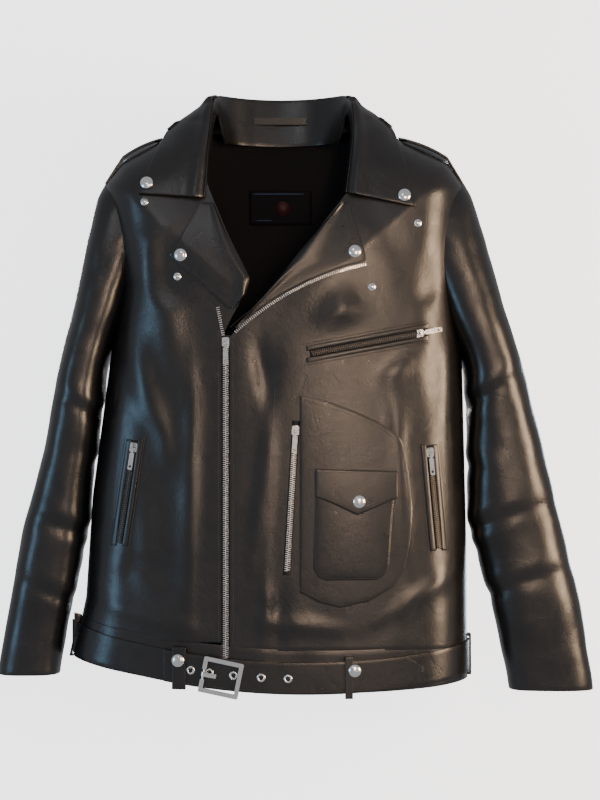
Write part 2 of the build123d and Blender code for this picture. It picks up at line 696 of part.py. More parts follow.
leaf_face = LEAF_OFF + LEAF
lapel_face = LAPEL_OFF + LAPEL
loop_face = LOOP_OFF + 1.8
save(snap_cap(-152, 594, leaf_face), "right_collar_snap")
save(snap_cap(149, 580, leaf_face), "left_collar_snap")
save(snap_cap(-112, 511, lapel_face), "right_lapel_snap")
save(snap_cap(91, 515, lapel_face), "left_lapel_snap")
save(snap_cap(95, 224, FLAP_OFF + FLAP), "pocket_flap_snap")
save(group([snap_cap(-114, belt_height(-114) + 9, loop_face), snap_cap(90, belt_height(90) + 8, loop_face)]),
     "belt_loop_snaps")
save(group([snap_stud(-155, 574, 0), snap_stud(165, 549, 0), snap_stud(-116, 486, 0),
            snap_stud(111, 474, 0)]), "body_snap_studs")

# ---- inside the neck -----------------------------------------------------------------
LABEL_HEIGHT = 578.0
label_y = BACK_Y - (BLADE_R - sqrt(BLADE_R**2 - (LABEL_HEIGHT - BLADE_TOP)**2)) - LINING_GAP - LINING
lean = asin((LABEL_HEIGHT - BLADE_TOP) / BLADE_R)
with BuildPart() as neck_label:
    with BuildSketch(Plane(origin=(3, label_y - 3 * CLEARANCE, z_at(LABEL_HEIGHT)), x_dir=(1, 0, 0),
                           z_dir=(0, -cos(lean), -sin(lean)))):
        Rectangle(76, 42)
    extrude(amount=0.6)
save(neck_label.part, "neck_label")

LOOP_HEIGHT = 682.0
loop_y = BACK_Y - (BLADE_R - sqrt(BLADE_R**2 - (LOOP_HEIGHT - BLADE_TOP)**2)) - LEATHER - 1.5
with BuildPart() as hanger_loop:
    with BuildSketch(Plane.XY.offset(z_at(LOOP_HEIGHT) - 4)):
        with Locations((3, loop_y - 4)):
            Rectangle(64, 8)
            Rectangle(52, 5.2, mode=Mode.SUBTRACT)
        with Locations((3, loop_y)):
            Rectangle(52, 4, mode=Mode.SUBTRACT)
    extrude(amount=8)
save(hanger_loop.part, "hanger_loop")
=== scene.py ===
"""Asymmetric-zip leather riding jacket, hanging closed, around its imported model."""
from math import cos, pi, radians, sin, sqrt

import bmesh
import bpy
import numpy as np
from mathutils import Matrix, Vector, noise


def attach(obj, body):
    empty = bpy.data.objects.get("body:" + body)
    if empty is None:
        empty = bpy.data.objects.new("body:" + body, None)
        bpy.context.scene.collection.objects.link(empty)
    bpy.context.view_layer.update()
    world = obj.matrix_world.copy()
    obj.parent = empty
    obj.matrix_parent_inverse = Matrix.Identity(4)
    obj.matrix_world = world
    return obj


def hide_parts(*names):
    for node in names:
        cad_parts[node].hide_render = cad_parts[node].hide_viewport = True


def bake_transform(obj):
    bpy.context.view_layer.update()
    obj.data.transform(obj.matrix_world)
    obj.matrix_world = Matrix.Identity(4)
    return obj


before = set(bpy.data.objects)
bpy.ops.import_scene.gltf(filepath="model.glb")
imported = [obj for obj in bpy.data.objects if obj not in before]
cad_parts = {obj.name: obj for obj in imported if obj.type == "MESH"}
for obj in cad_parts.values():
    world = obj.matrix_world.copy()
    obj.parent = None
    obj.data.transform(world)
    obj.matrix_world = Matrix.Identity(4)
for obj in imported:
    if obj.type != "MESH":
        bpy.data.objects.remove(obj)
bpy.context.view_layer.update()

# ---- view and room -------------------------------------------------------------------
# A pale floor and a plain wall behind the jacket, and soft lamps: warm ones from the wearer's
# left and a cool one from the right, as in a room lit by a lamp and a window.
HEM = -0.650               # the hem line, below the hanger seat
EYE = Vector((0.027, -2.40, HEM + 0.342))
VIEW_HEIGHT = 0.944        # what the view's long side takes in, at the jacket's front
FRONT_PLANE = -0.05
SENSOR = 36.0
ROOM_COLOUR = (0.80, 0.80, 0.815)
ROOM_GLOW = 3.1

scene = bpy.context.scene
camera_data = bpy.data.cameras.new("camera")
camera_data.sensor_width = SENSOR
camera_data.lens = SENSOR * (FRONT_PLANE - EYE.y) / VIEW_HEIGHT
camera = bpy.data.objects.new("camera", camera_data)
camera.location = EYE
camera.rotation_euler = (radians(90), 0, 0)
scene.collection.objects.link(camera)
scene.camera = camera


def new_material(name, **inputs):
    """A material, its nodes and links, and its shader, with the shader's inputs set (Base_Color is Base Color)."""
    material = bpy.data.materials.new(name)
    material.use_nodes = True
    nodes, links = material.node_tree.nodes, material.node_tree.links
    shader = nodes["Principled BSDF"]
    for key, value in inputs.items():
        shader.inputs[key.replace("_", " ")].default_value = value
    return material, nodes, links, shader


def plain_material(name, colour, roughness):
    """One colour and one roughness, with no pattern."""
    return new_material(name, Base_Color=(*colour, 1), Roughness=roughness)[0]


def room_paint(name):
    """Bright room paint that is seen from inside the room only."""
    colour = (*ROOM_COLOUR, 1)
    material, nodes, links, shader = new_material(name, Base_Color=colour, Roughness=0.9, Emission_Color=colour,
                                                  Emission_Strength=ROOM_GLOW)
    side = nodes.new("ShaderNodeNewGeometry")
    clear = nodes.new("ShaderNodeBsdfTransparent")
    both = nodes.new("ShaderNodeMixShader")
    links.new(side.outputs["Backfacing"], both.inputs[0])
    links.new(shader.outputs["BSDF"], both.inputs[1])
    links.new(clear.outputs["BSDF"], both.inputs[2])
    links.new(both.outputs["Shader"], nodes["Material Output"].inputs["Surface"])
    return material


def room_face(name, centre, across, up):
    """One flat face of the room, which lights neither the hide nor the metal."""
    bm = bmesh.new()
    bmesh.ops.create_grid(bm, x_segments=1, y_segments=1, size=1)
    turn = Matrix((across, up, across.cross(up).normalized())).transposed().to_4x4()
    bmesh.ops.transform(bm, matrix=Matrix.Translation(centre) @ turn, verts=bm.verts)
    mesh = bpy.data.meshes.new(name)
    bm.to_mesh(mesh)
    bm.free()
    mesh.materials.append(room_paint(name))
    piece = bpy.data.objects.new(name, mesh)
    scene.collection.objects.link(piece)
    piece.visible_glossy = False
    piece.visible_diffuse = False


room_face("floor", Vector((0, 0, -1.45)), Vector((6, 0, 0)), Vector((0, 6, 0)))
room_face("wall", Vector((0, 0.16, 0)), Vector((6, 0, 0)), Vector((0, 0, 6)))


def lamp(name, place, target, width, height, power, colour):
    """A soft lamp aimed at a point."""
    data = bpy.data.lights.new(name, "AREA")
    data.shape = "RECTANGLE"
    data.size = width
    data.size_y = height
    data.energy = power
    data.color = colour
    piece = bpy.data.objects.new(name, data)
    piece.location = place
    aim = Vector(target) - Vector(place)
    piece.rotation_euler = aim.to_track_quat("-Z", "Y").to_euler()
    scene.collection.objects.link(piece)


lamp("warm_lamp", (0.55, -2.35, HEM + 0.76), (0.1, 0, -0.2), 0.34, 0.30, 11, (1.0, 0.70, 0.47))
lamp("warm_glow", (0.56, -2.35, HEM + 0.25), (0.1, 0, -0.4), 0.24, 0.40, 4, (1.0, 0.70, 0.50))
lamp("warm_side", (1.95, -1.15, -0.25), (0.28, 0, -0.3), 0.9, 0.9, 52, (1.0, 0.70, 0.45))
lamp("cool_window", (-1.9, -1.3, -0.45), (-0.2, 0, -0.45), 0.7, 0.9, 10, (0.36, 0.68, 1.0))
lamp("room_light", (-0.5, -2.6, 1.2), (0, 0, -0.2), 0.4, 0.4, 3, (0.92, 0.95, 1.0))
lamp("back_light", (-0.6, 2.4, 0.1), (0, 0, -0.3), 0.6, 0.6, 24, (1.0, 0.95, 0.90))
lamp("back_fill", (1.1, 2.1, -0.5), (0, 0, -0.3), 0.8, 0.8, 12, (0.75, 0.88, 1.0))
world = bpy.data.worlds.new("room")
scene.world = world
world.use_nodes = True
world.node_tree.nodes["Background"].inputs["Color"].default_value = (0.92, 0.94, 1.0, 1)
world.node_tree.nodes["Background"].inputs["Strength"].default_value = 0.42

# ---- body leather --------------------------------------------------------------------
# Polished black hide with a fine pebbled grain, soft creases and duller, worn high spots.
# Every outline below is (x, height above the hem line), in millimetres, seen from the front.
MM = 0.001
UNEVEN = 0.10              # how much rougher the duller spots are


def texture(nodes, links, kind, **inputs):
    """A texture laid out in the piece's own coordinates."""
    where = nodes.new("ShaderNodeTexCoord")
    node = nodes.new(f"ShaderNodeTex{kind}")
    for key, value in inputs.items():
        node.inputs[key].default_value = value
    links.new(where.outputs["Object"], node.inputs["Vector"])
    return node


def toned(nodes, links, pattern, low, high, shader, span=(0.0, 1.0)):
    """Run the shader's colour from low to high over a pattern."""
    tone = nodes.new("ShaderNodeValToRGB")
    for element, position, colour in zip(tone.color_ramp.elements, span, (low, high)):
        element.position = position
        element.color = (*colour, 1)
    links.new(pattern, tone.inputs["Fac"])
    links.new(tone.outputs["Color"], shader.inputs["Base Color"])


def polished(nodes, links, pattern, low, high, shader, span=(0.0, 1.0)):
    """Run the shader's roughness from low to high over a pattern."""
    polish = nodes.new("ShaderNodeMapRange")
    for key, value in (("From Min", span[0]), ("From Max", span[1]), ("To Min", low), ("To Max", high)):
        polish.inputs[key].default_value = value
    links.new(pattern, polish.inputs["Value"])
    links.new(polish.outputs["Result"], shader.inputs["Roughness"])


def bumped(nodes, links, patterns, shader):
    """Stack bumps: each is a pattern, its strength and its depth in metres."""
    last = None
    for pattern, strength, distance in patterns:
        bump = nodes.new("ShaderNodeBump")
        bump.inputs["Strength"].default_value = strength
        bump.inputs["Distance"].default_value = distance
        links.new(pattern, bump.inputs["Height"])
        if last:
            links.new(last.outputs["Normal"], bump.inputs["Normal"])
        last = bump
    links.new(last.outputs["Normal"], shader.inputs["Normal"])


def shade(colour, share):
    """A colour made darker or lighter."""
    return tuple(c * share for c in colour)


def leather_material(name, colour, gloss, grain):
    """Black hide: pebble grain, fine wrinkles, and uneven polish from gloss up to gloss + UNEVEN."""
    material, nodes, links, shader = new_material(name, Specular_IOR_Level=0.55, Coat_Weight=0.12,
                                                  Coat_Roughness=0.25)
    pebble = texture(nodes, links, "Voronoi", Scale=grain)
    pebble.feature = "SMOOTH_F1"
    fine = texture(nodes, links, "Noise", Scale=grain * 0.35, Detail=6)
    broad = texture(nodes, links, "Noise", Scale=14, Detail=5)
    crease = texture(nodes, links, "Noise", Scale=45, Detail=8, Distortion=1.2)
    toned(nodes, links, broad.outputs["Fac"], shade(colour, 0.7), shade(colour, 1.5), shader, (0.35, 0.75))
    polished(nodes, links, crease.outputs["Fac"], gloss, gloss + UNEVEN, shader, (0.3, 0.7))
    bumped(nodes, links, ((crease.outputs["Fac"], 0.22, 0.0014), (fine.outputs["Fac"], 0.3, 0.0004),
                          (pebble.outputs["Distance"], 0.28, 0.0003)), shader)
    return material


hide = leather_material("polished_hide", (0.0075, 0.0068, 0.0066), 0.27, 900)

RIGHT_EDGE = np.array([(-245, -80), (-245, 36), (-230, 106), (-222, 228), (-194, 443), (-190, 480), (-208, 598),
                       (-186, 627), (-137, 655), (-120, 671), (-90, 688), (-79, 708), (-79, 760)]) * MM
LEFT_EDGE = np.array([(228, -80), (228, 10), (227, 169), (222, 380), (217, 474), (224, 598), (204, 627),
                      (142, 656), (130, 672), (95, 692), (85, 708), (85, 760)]) * MM
MID_Y = -0.004             # the plane in which the front and the back meet at the sides
ROUND = 0.055              # how far in from its outline the body starts to turn
FRONT_Y, BACK_Y = -0.085, 0.065
FRONT_RADIUS, BACK_RADIUS = 0.9, 1.2
CHEST, FRONT_LEAN = 0.43, 0.7          # height at which the front starts to lean back, and the radius of its lean
SHOULDER_BLADES, BACK_LEAN = 0.48, 0.9
HIGHEST_LEAN = 0.4


def edge_distance(x, h):
    """Distance in from the body's outline."""
    best = np.full(np.shape(x), 9.0)
    for line in (RIGHT_EDGE, LEFT_EDGE):
        for (ax, ah), (bx, bh) in zip(line[:-1], line[1:]):
            run = np.clip(((x - ax) * (bx - ax) + (h - ah) * (bh - ah)) / ((bx - ax)**2 + (bh - ah)**2), 0, 1)
            best = np.minimum(best, np.hypot(x - ax - run * (bx - ax), h - ah - run * (bh - ah)))
    inside = (x >= np.interp(h, RIGHT_EDGE[:, 1], RIGHT_EDGE[:, 0])) & (
        x <= np.interp(h, LEFT_EDGE[:, 1], LEFT_EDGE[:, 0]))
    return np.where(inside, best, -best)


def body_y(x, h, lift=0.0, back=False):
    """Y of the body's front or back at a front-view point, a distance off its leather."""
    x, h = np.asarray(x, float), np.asarray(h, float)
    if back:
        plan = BACK_Y - BACK_RADIUS + np.sqrt(BACK_RADIUS**2 - x**2)
        lean = BACK_Y - BACK_LEAN + np.sqrt(BACK_LEAN**2 - np.clip(h - SHOULDER_BLADES, 0, HIGHEST_LEAN)**2)
        face = np.minimum(plan, lean) + lift
    else:
        plan = FRONT_Y + FRONT_RADIUS - np.sqrt(FRONT_RADIUS**2 - x**2)
        lean = FRONT_Y + FRONT_LEAN - np.sqrt(FRONT_LEAN**2 - np.clip(h - CHEST, 0, HIGHEST_LEAN)**2)
        face = np.maximum(plan, lean) - lift
    turn = 1 - np.clip((edge_distance(x, h) + max(lift, 0)) / (ROUND + max(lift, 0)), 0, 1)
    return MID_Y + (face - MID_Y) * np.sqrt(np.clip(1 - turn**2.4, 0, 1))


# Places where the hide lies flat, because hardware is set in it: segments and their half widths.
FLAT = [((-59, 41), (-59, 420), 12), ((22, 312), (12, 143), 12), ((172, 421), (40, 396), 12),
        ((-167, 292), (-185, 175), 9), ((179, 286), (190, 169), 9), ((-152, 594), (-155, 574), 12),
        ((149, 580), (165, 549), 12), ((-112, 511), (-116, 486), 12), ((91, 515), (111, 474), 12),
        ((60, 330), (95, 140), 45)]
# Folds of the hanging leather: from, to, half width, height.
FOLDS = [((-178, 430), (-120, 250), 16, 5.0), ((-150, 560), (-110, 330), 20, 5.0), ((-95, 400), (-105, 90), 14, 3.5),
         ((-200, 380), (-150, 120), 15, 4.5), ((-225, 110), (-80, 70), 10, 3.0), ((-215, 180), (-120, 130), 10, -3.0),
         ((195, 470), (128, 360), 13, 5.0), ((140, 350), (150, 90), 11, 4.0), ((208, 420), (192, 120), 12, 4.0),
         ((120, 500), (45, 400), 20, 4.5), ((-2, 350), (-14, 60), 7, 3.0), ((14, 340), (2, 60), 7, -2.5),
         ((215, 140), (100, 80), 10, 3.5), ((90, 75), (-30, 85), 9, 2.5), ((175, 520), (190, 330), 14, -4.0),
         ((0, 330), (-35, 120), 12, 3.0), ((-30, 420), (10, 300), 12, -3.0), ((-160, 300), (-175, 130), 8, -3.0)]


def near_line(x, h, start, end):
    """Distance to a front-view segment, and how far along it."""
    (ax, ah), (bx, bh) = np.array(start) * MM, np.array(end) * MM
    run = np.clip(((x - ax) * (bx - ax) + (h - ah) * (bh - ah)) / ((bx - ax)**2 + (bh - ah)**2), 0, 1)
    return np.hypot(x - ax - run * (bx - ax), h - ah - run * (bh - ah)), run


def folds(x, h, seed=0.0):
    """How far the hanging leather stands off its plain shape."""
    total = np.zeros(np.shape(x))
    for start, end, width, height in FOLDS:
        away, run = near_line(x, h, start, end)
        total += height * MM * np.exp(-(away / (width * MM))**2) * np.sin(pi * np.clip(run * 0.9 + 0.05, 0, 1))
    rough = np.array([noise.noise(Vector((a * 9, seed, b * 6))) * 0.0028 + noise.noise(
        Vector((a * 26, seed + 5, b * 17))) * 0.0010 for a, b in zip(np.ravel(x), np.ravel(h))])
    total += rough.reshape(np.shape(x))
    for start, end, width in FLAT:
        away, _ = near_line(x, h, start, end)
        total *= np.clip((away - width * MM) / 0.028, 0, 1)**1.5
    return total


def finish_piece(name, bm, material, wall, body, nodes, edge=0.0006, inward=-1.0, smooth=True):
    """Turn a bmesh into a finished piece with a wall, softened edges, a body and a finish."""
    mesh = bpy.data.meshes.new(name)
    bm.to_mesh(mesh)
    bm.free()
    mesh.materials.append(material)
    if smooth:
        mesh.polygons.foreach_set("use_smooth", [True] * len(mesh.polygons))
    piece = bpy.data.objects.new(name, mesh)
    scene.collection.objects.link(piece)
    if wall:
        solid = piece.modifiers.new("wall", "SOLIDIFY")
        solid.thickness = wall
        solid.offset = inward
        if edge:
            soft = piece.modifiers.new("edge", "BEVEL")
            soft.width = edge
            soft.segments = 2
            soft.limit_method = "ANGLE"
            soft.angle_limit = radians(50)
    if body:
        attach(piece, body)
    if nodes:
        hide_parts(*nodes)
    return piece


def unit_grid(across, along):
    """A flat grid, and where its points are from 0 to 1."""
    bm = bmesh.new()
    bmesh.ops.create_grid(bm, x_segments=across, y_segments=along, size=0.5)
    return bm, np.array([v.co for v in bm.verts]) + 0.5


def put(bm, places):
    """Put a grid's points at places, which are metres with the height above the hem line last."""
    for vert, (x, y, h) in zip(bm.verts, places):
        vert.co = (x, y, h + HEM)


def turn_faces(bm, outward):
    """Turn all the faces one way, so that outward, a measure of each face, is positive in total."""
    bmesh.ops.recalc_face_normals(bm, faces=bm.faces)
    if sum(outward(face) for face in bm.faces) < 0:
        bmesh.ops.reverse_faces(bm, faces=bm.faces)


def panel_mesh(rows, low, high, lift, back=False, count=(40, 60), folded=1.0, seed=0.0, by_x=False, ends=True,
               puff=0.0, roll=None, tilt=(0, 0)):
    """A panel between two edges: their points give x against height, or height against x.

    puff swells its middle, roll lifts the side it is folded at, and tilt slants its lowest row."""
    low, high = np.array(low) * MM, np.array(high) * MM
    bm, grid = unit_grid(*count)
    across, along = grid[:, 0], grid[:, 1]
    if ends:
        across = 0.5 - 0.5 * np.cos(pi * across)
    along = (rows[0] + (rows[1] - rows[0]) * along) * MM
    a = np.interp(along, low[:, 0], low[:, 1])
    b = np.interp(along, high[:, 0], high[:, 1])
    x, h = (along, a + (b - a) * across) if by_x else (a + (b - a) * across, along)
    if any(tilt):
        h = h + (tilt[0] + (tilt[1] - tilt[0]) * across) * MM * (1 - (along / MM - rows[0]) / (rows[1] - rows[0]))
    y = body_y(x, h, lift * MM, back)
    swell = np.sin(pi * grid[:, 0])**0.5 * np.sin(pi * grid[:, 1])**0.5 * puff * MM
    if roll:
        side, height = roll
        swell = swell + height * MM * np.exp(-((across - side) / 0.22)**2) - height * MM * 1.6 * np.exp(
            -((across - side) / 0.05)**2)
    y = y + (swell if back else -swell)
    if folded:
        shift = folds(x, h, seed) * folded
        fade = np.clip(edge_distance(x, h) / 0.03, 0, 1)
        y = y + (shift if back else -shift) * fade
    put(bm, zip(x, y, h))
    bmesh.ops.remove_doubles(bm, verts=bm.verts, dist=1e-5)
    bmesh.ops.dissolve_degenerate(bm, edges=bm.edges, dist=1e-5)
    face_out(bm, back)
    return bm


def face_out(bm, back=False):
    """Turn a panel's faces to the front, or to the back."""
    way = 1 if back else -1
    turn_faces(bm, lambda face: way * face.normal.y * face.calc_area())


def flip(points):
    """Outline points as (height, x)."""
    return [(h, x) for x, h in points]


RIGHT_SIDE = [(-245, 30), (-230, 106), (-222, 228), (-194, 443), (-190, 480), (-208, 598), (-186, 627), (-137, 655),
              (-120, 671), (-95, 684)]
LEFT_SIDE = [(228, 10), (227, 169), (222, 380), (217, 474), (224, 598), (204, 627), (142, 656), (130, 672),
             (100, 688)]
RIGHT_ROLL = [(-64.5, 20), (-64.5, 415), (-33, 476), (-31, 484), (-56, 533), (-70, 566), (-82, 596), (-85, 637),
              (-84, 690)]
LEFT_ROLL = [(-54.5, 20), (-54.5, 419), (-50, 421), (15, 501), (51, 545), (81, 584), (87, 616), (92, 657), (90, 694)]

right_front = finish_piece("right_front", panel_mesh((60, 684), flip(RIGHT_SIDE), flip(RIGHT_ROLL), 0,
                                                     count=(56, 110), seed=1.0),
                           hide, 0.0022, "jacket_body", ["right_front"])
left_front = finish_piece("left_front", panel_mesh((50, 688), flip(LEFT_ROLL), flip(LEFT_SIDE), 0,
                                                   count=(70, 110), seed=2.0),
                          hide, 0.0022, "jacket_body", ["left_front"])
back_panel = finish_piece("back_panel", panel_mesh((38, 684), flip(RIGHT_SIDE), flip(LEFT_SIDE), 0, back=True,
                                                   count=(90, 110), seed=3.0),
                          hide, 0.0022, "jacket_body", ["back_panel"])

# ---- sleeves -------------------------------------------------------------------------
# Each sleeve is two pieces of hide, a top and an under sleeve, sewn into the armhole.
# A sleeve's sections, in millimetres: height, inner and outer x, and half depth.
RIGHT_SLEEVE = [(612, -150, -196, 20), (600, -150, -211, 32), (575, -150, -219, 46), (520, -160, -231, 56),
                (450, -180, -246, 60), (390, -203, -258, 58), (289, -217, -279, 52), (187, -229, -304, 44),
                (97, -247, -322, 38), (14, -262, -336, 33)]
LEFT_SLEEVE = [(612, 160, 214, 20), (600, 160, 228, 32), (575, 160, 236, 46), (520, 170, 252, 54),
               (450, 195, 272, 58), (390, 224, 290, 56), (289, 227, 317, 50), (187, 230, 344, 44),
               (97, 258, 365, 38), (-5, 280, 379, 30)]


# The line of each cuff zip, up the back of the sleeve: x, y and height.
RIGHT_CUFF_ZIP = [(-300, 31.8, 18), (-285, 36.8, 97)]
LEFT_CUFF_ZIP = [(330, 28.8, -2), (311.5, 36.8, 97)]


def cuff_line(sections):
    """The ends of the cuff zip of the sleeve with these sections."""
    line = LEFT_CUFF_ZIP if sections[0][1] > 0 else RIGHT_CUFF_ZIP
    return [Vector(end) * MM for end in line]


def sleeve_mesh(sections, seed, ring=72, rows=150):
    """A sleeve's tube: level ovals down the arm, with the creases of a bent elbow and a slit for the cuff zip."""
    table = np.array(sections, float)[::-1] * MM
    slit_low, slit_high = cuff_line(sections)
    bm, grid = unit_grid(ring, rows)
    turn, h = grid[:, 0] * 2 * pi, table[0, 0] + (table[-1, 0] - table[0, 0]) * grid[:, 1]**0.9
    smooth = [np.convolve(np.pad(np.interp(np.linspace(table[0, 0], table[-1, 0], 200), table[:, 0], table[:, k]),
                                 6, mode="edge"), np.ones(13) / 13, mode="valid") for k in (1, 2, 3)]
    inner, outer, depth = (np.interp(h, np.linspace(table[0, 0], table[-1, 0], 200), s) for s in smooth)
    side = np.sign(table[0, 1])
    squared = 1 + 0.09 * np.sin(2 * turn)**2
    x = (inner + outer) / 2 + side * np.abs(outer - inner) / 2 * np.cos(turn) * squared
    y = -depth * np.sin(turn) * squared
    for k, (vx, vy, vh, angle) in enumerate(zip(x, y, h, turn)):
        lump = noise.noise(Vector((vx * 11, vy * 9 + seed, vh * 9))) * 0.0035
        lump += noise.noise(Vector((vx * 30, vy * 22 + seed, vh * 34))) * 0.0012
        for level, slant, deep, spread in ((0.198, 0.30, 0.0026, -0.7), (0.245, -0.45, 0.0022, 0.8),
                                           (0.112, 0.35, 0.0024, -0.9), (0.155, -0.25, 0.0014, 0.6),
                                           (0.36, 0.55, 0.0022, -0.8), (0.47, -0.7, 0.0026, 0.5)):
            wander = 0.012 * noise.noise(Vector((vx * 12, vy * 12, level)))
            at = vh - level - slant * (vx - side * 0.27) * side - wander
            reach = np.clip(0.5 - 0.5 * cos(angle - spread), 0, 1)**2
            lump -= deep * np.exp(-(at / 0.008)**2) * reach
            lump += deep * 0.8 * np.exp(-((at - 0.016) / 0.013)**2) * reach
        slit_x = slit_low.x + (slit_high.x - slit_low.x) * (vh - slit_low.z) / (slit_high.z - slit_low.z)
        in_slit = np.clip(1.6 - abs(vx - slit_x) / 0.006, 0, 1) * np.clip((0.100 - vh) / 0.006, 0, 1) * (vy > 0)
        lump *= 1 - in_slit
        x[k] += side * cos(angle) * lump
        y[k] -= sin(angle) * lump
        y[k] -= in_slit * (y[k] - depth[k] + 0.0022)
    put(bm, zip(x, y, h))
    bmesh.ops.remove_doubles(bm, verts=bm.verts, dist=1e-5)
    centre = Vector(np.mean([v.co for v in bm.verts], axis=0))
    turn_faces(bm, lambda face: (face.calc_center_median() - centre).dot(face.normal))
    return bm


for side_name, sections, seed, shoulder in (("right", RIGHT_SLEEVE, 4.0, -0.209), ("left", LEFT_SLEEVE, 8.0, 0.225)):
    sleeve = finish_piece(f"{side_name}_sleeve_leather", sleeve_mesh(sections, seed), hide, 0.0022, None,
                          [f"{side_name}_top_sleeve", f"{side_name}_under_sleeve"])
    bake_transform(sleeve)

# ---- waistband -----------------------------------------------------------------------
# A folded band of hide sewn to the lower edge of the body, open at the main zip.
# Its lower edge and the belt's middle are arcs, each through three front-view points.
def arc_height(points, x):
    """Height of the arc through three front-view points at x."""
    (x1, h1), (x2, h2), (x3, h3) = points
    slope = 2 * (x1 * (h2 - h3) + x2 * (h3 - h1) + x3 * (h1 - h2))
    squares = [x1**2 + h1**2, x2**2 + h2**2, x3**2 + h3**2]
    cx = (squares[0] * (h2 - h3) + squares[1] * (h3 - h1) + squares[2] * (h1 - h2)) / slope
    ch = (squares[0] * (x3 - x2) + squares[1] * (x1 - x3) + squares[2] * (x2 - x1)) / slope
    radius = sqrt((x1 - cx)**2 + (h1 - ch)**2)
    return ch - np.sqrt(radius**2 - (np.asarray(x) - cx)**2)


HEM_ARC = [(-262, 41), (-20, 3), (240, 12)]
BELT_ARC = [(-262, 65), (-20, 20), (240, 39)]


def ring_mesh(arc, low, high, lift, count=(180, 8), gap=None, wave=0.0, seed=0.0):
    """A band right round the body, between two heights off a front-view arc, open in front where gap says."""
    bm, grid = unit_grid(*count)
    angle = grid[:, 0] * 2 * pi
    right = np.interp(40 * MM, RIGHT_EDGE[:, 1], RIGHT_EDGE[:, 0]) - lift * MM
    left = np.interp(40 * MM, LEFT_EDGE[:, 1], LEFT_EDGE[:, 0]) + lift * MM
    if gap:
        turn_at = np.arccos((gap * MM - (left + right) / 2) / ((left - right) / 2))
        half_gap = 0.006
        angle = -turn_at + half_gap + grid[:, 0] * (2 * pi - 2 * half_gap)
    x = (left + right) / 2 + (left - right) / 2 * np.cos(angle)
    rise = low + (high - low) * grid[:, 1]
    h = (arc_height(arc, x / MM) + rise) * MM
    behind = np.sin(angle) > 0
    y = np.where(behind, body_y(x, h, lift * MM, True), body_y(x, h, lift * MM, False))
    ripple = np.array([noise.noise(Vector((a * 22, b * 22, seed))) for a, b in zip(x, y)]) * wave * MM
    y = y + np.where(behind, ripple, -ripple) * np.clip(edge_distance(x, h) / 0.03, 0, 1)
    put(bm, zip(x, y, h))
    bmesh.ops.remove_doubles(bm, verts=bm.verts, dist=1e-5)
    turn_faces(bm, lambda face: face.normal.y * face.calc_center_median().y)
    return bm


waistband = finish_piece("waistband", ring_mesh(HEM_ARC, 0, 50, 0.2, gap=-59.5, wave=1.6), hide, 0.004, "jacket_body",
                         ["waistband"], edge=0.0012)

# ---- linings -------------------------------------------------------------------------
# Black satin: one piece inside the back and one inside each front.
# It is sewn in at the neck and the hem, a little way in from the leather.
satin, satin_nodes, satin_links, satin_shader = new_material("black_satin", Roughness=0.6, Specular_IOR_Level=0.15)
weave = texture(satin_nodes, satin_links, "Wave", Scale=900, Distortion=0.6)
toned(satin_nodes, satin_links, weave.outputs["Fac"], (0.002, 0.002, 0.003), (0.006, 0.006, 0.007), satin_shader)
bumped(satin_nodes, satin_links, [(weave.outputs["Fac"], 0.2, 0.0002)], satin_shader)


def absorb(whole, part, name):
    """Add one bmesh to another, and free it."""
    mesh = bpy.data.meshes.new(name)
    part.to_mesh(mesh)
    part.free()
    whole.from_mesh(mesh)


RIGHT_INNER = [(x + 13, h - 8) for x, h in RIGHT_SIDE]
LEFT_INNER = [(x - 13, h - 8) for x, h in LEFT_SIDE]
back_lining = finish_piece("back_lining", panel_mesh((24, 664), flip(RIGHT_INNER), flip(LEFT_INNER), -9.5, back=True,
                                                     count=(50, 60), folded=0.5, seed=6.0),
                           satin, 0.0008, "jacket_body", ["back_lining"], edge=0)
front_lining = panel_mesh((50, 664), flip(RIGHT_INNER), flip([(x - 6, h) for x, h in RIGHT_ROLL]), -9.5,
                          count=(30, 60), folded=0.4, seed=7.0)
other_side = panel_mesh((40, 664), flip([(x + 6, h) for x, h in LEFT_ROLL]), flip(LEFT_INNER), -9.5,
                        count=(36, 60), folded=0.4, seed=7.5)
absorb(front_lining, other_side, "left_lining_mesh")
front_linings = finish_piece("front_linings", front_lining, satin, 0.0008, "jacket_body", ["front_linings"],
                             edge=0)

# ---- neck label ----------------------------------------------------------------------
# A woven black label sewn to the back lining, below the collar.
# It carries two plain blue bars and a plain disc.
woven_label, label_nodes, label_links, label_shader = new_material("woven_label", Roughness=0.7,
                                                                   Specular_IOR_Level=0.15)
threads = texture(label_nodes, label_links, "Wave", Scale=1400)
threads.bands_direction = "Z"
toned(label_nodes, label_links, threads.outputs["Fac"], (0.002, 0.002, 0.003), (0.007, 0.007, 0.010), label_shader)


def thread_material(name, colour, roughness=0.6):
    """Twisted thread: one colour, unevenly lit by its ply."""
    material, nodes, links, shader = new_material(name, Roughness=roughness)
    ply = texture(nodes, links, "Noise", Scale=1200)
    toned(nodes, links, ply.outputs["Fac"], shade(colour, 0.6), shade(colour, 1.3), shader)
    return material


def back_patch(x0, x1, low, high, lift):
    """A flat patch inside the back, in millimetres."""
    return panel_mesh((low, high), [(low, x0), (high, x0)], [(low, x1), (high, x1)], lift, back=True, count=(24, 12),
                      folded=0, ends=False)


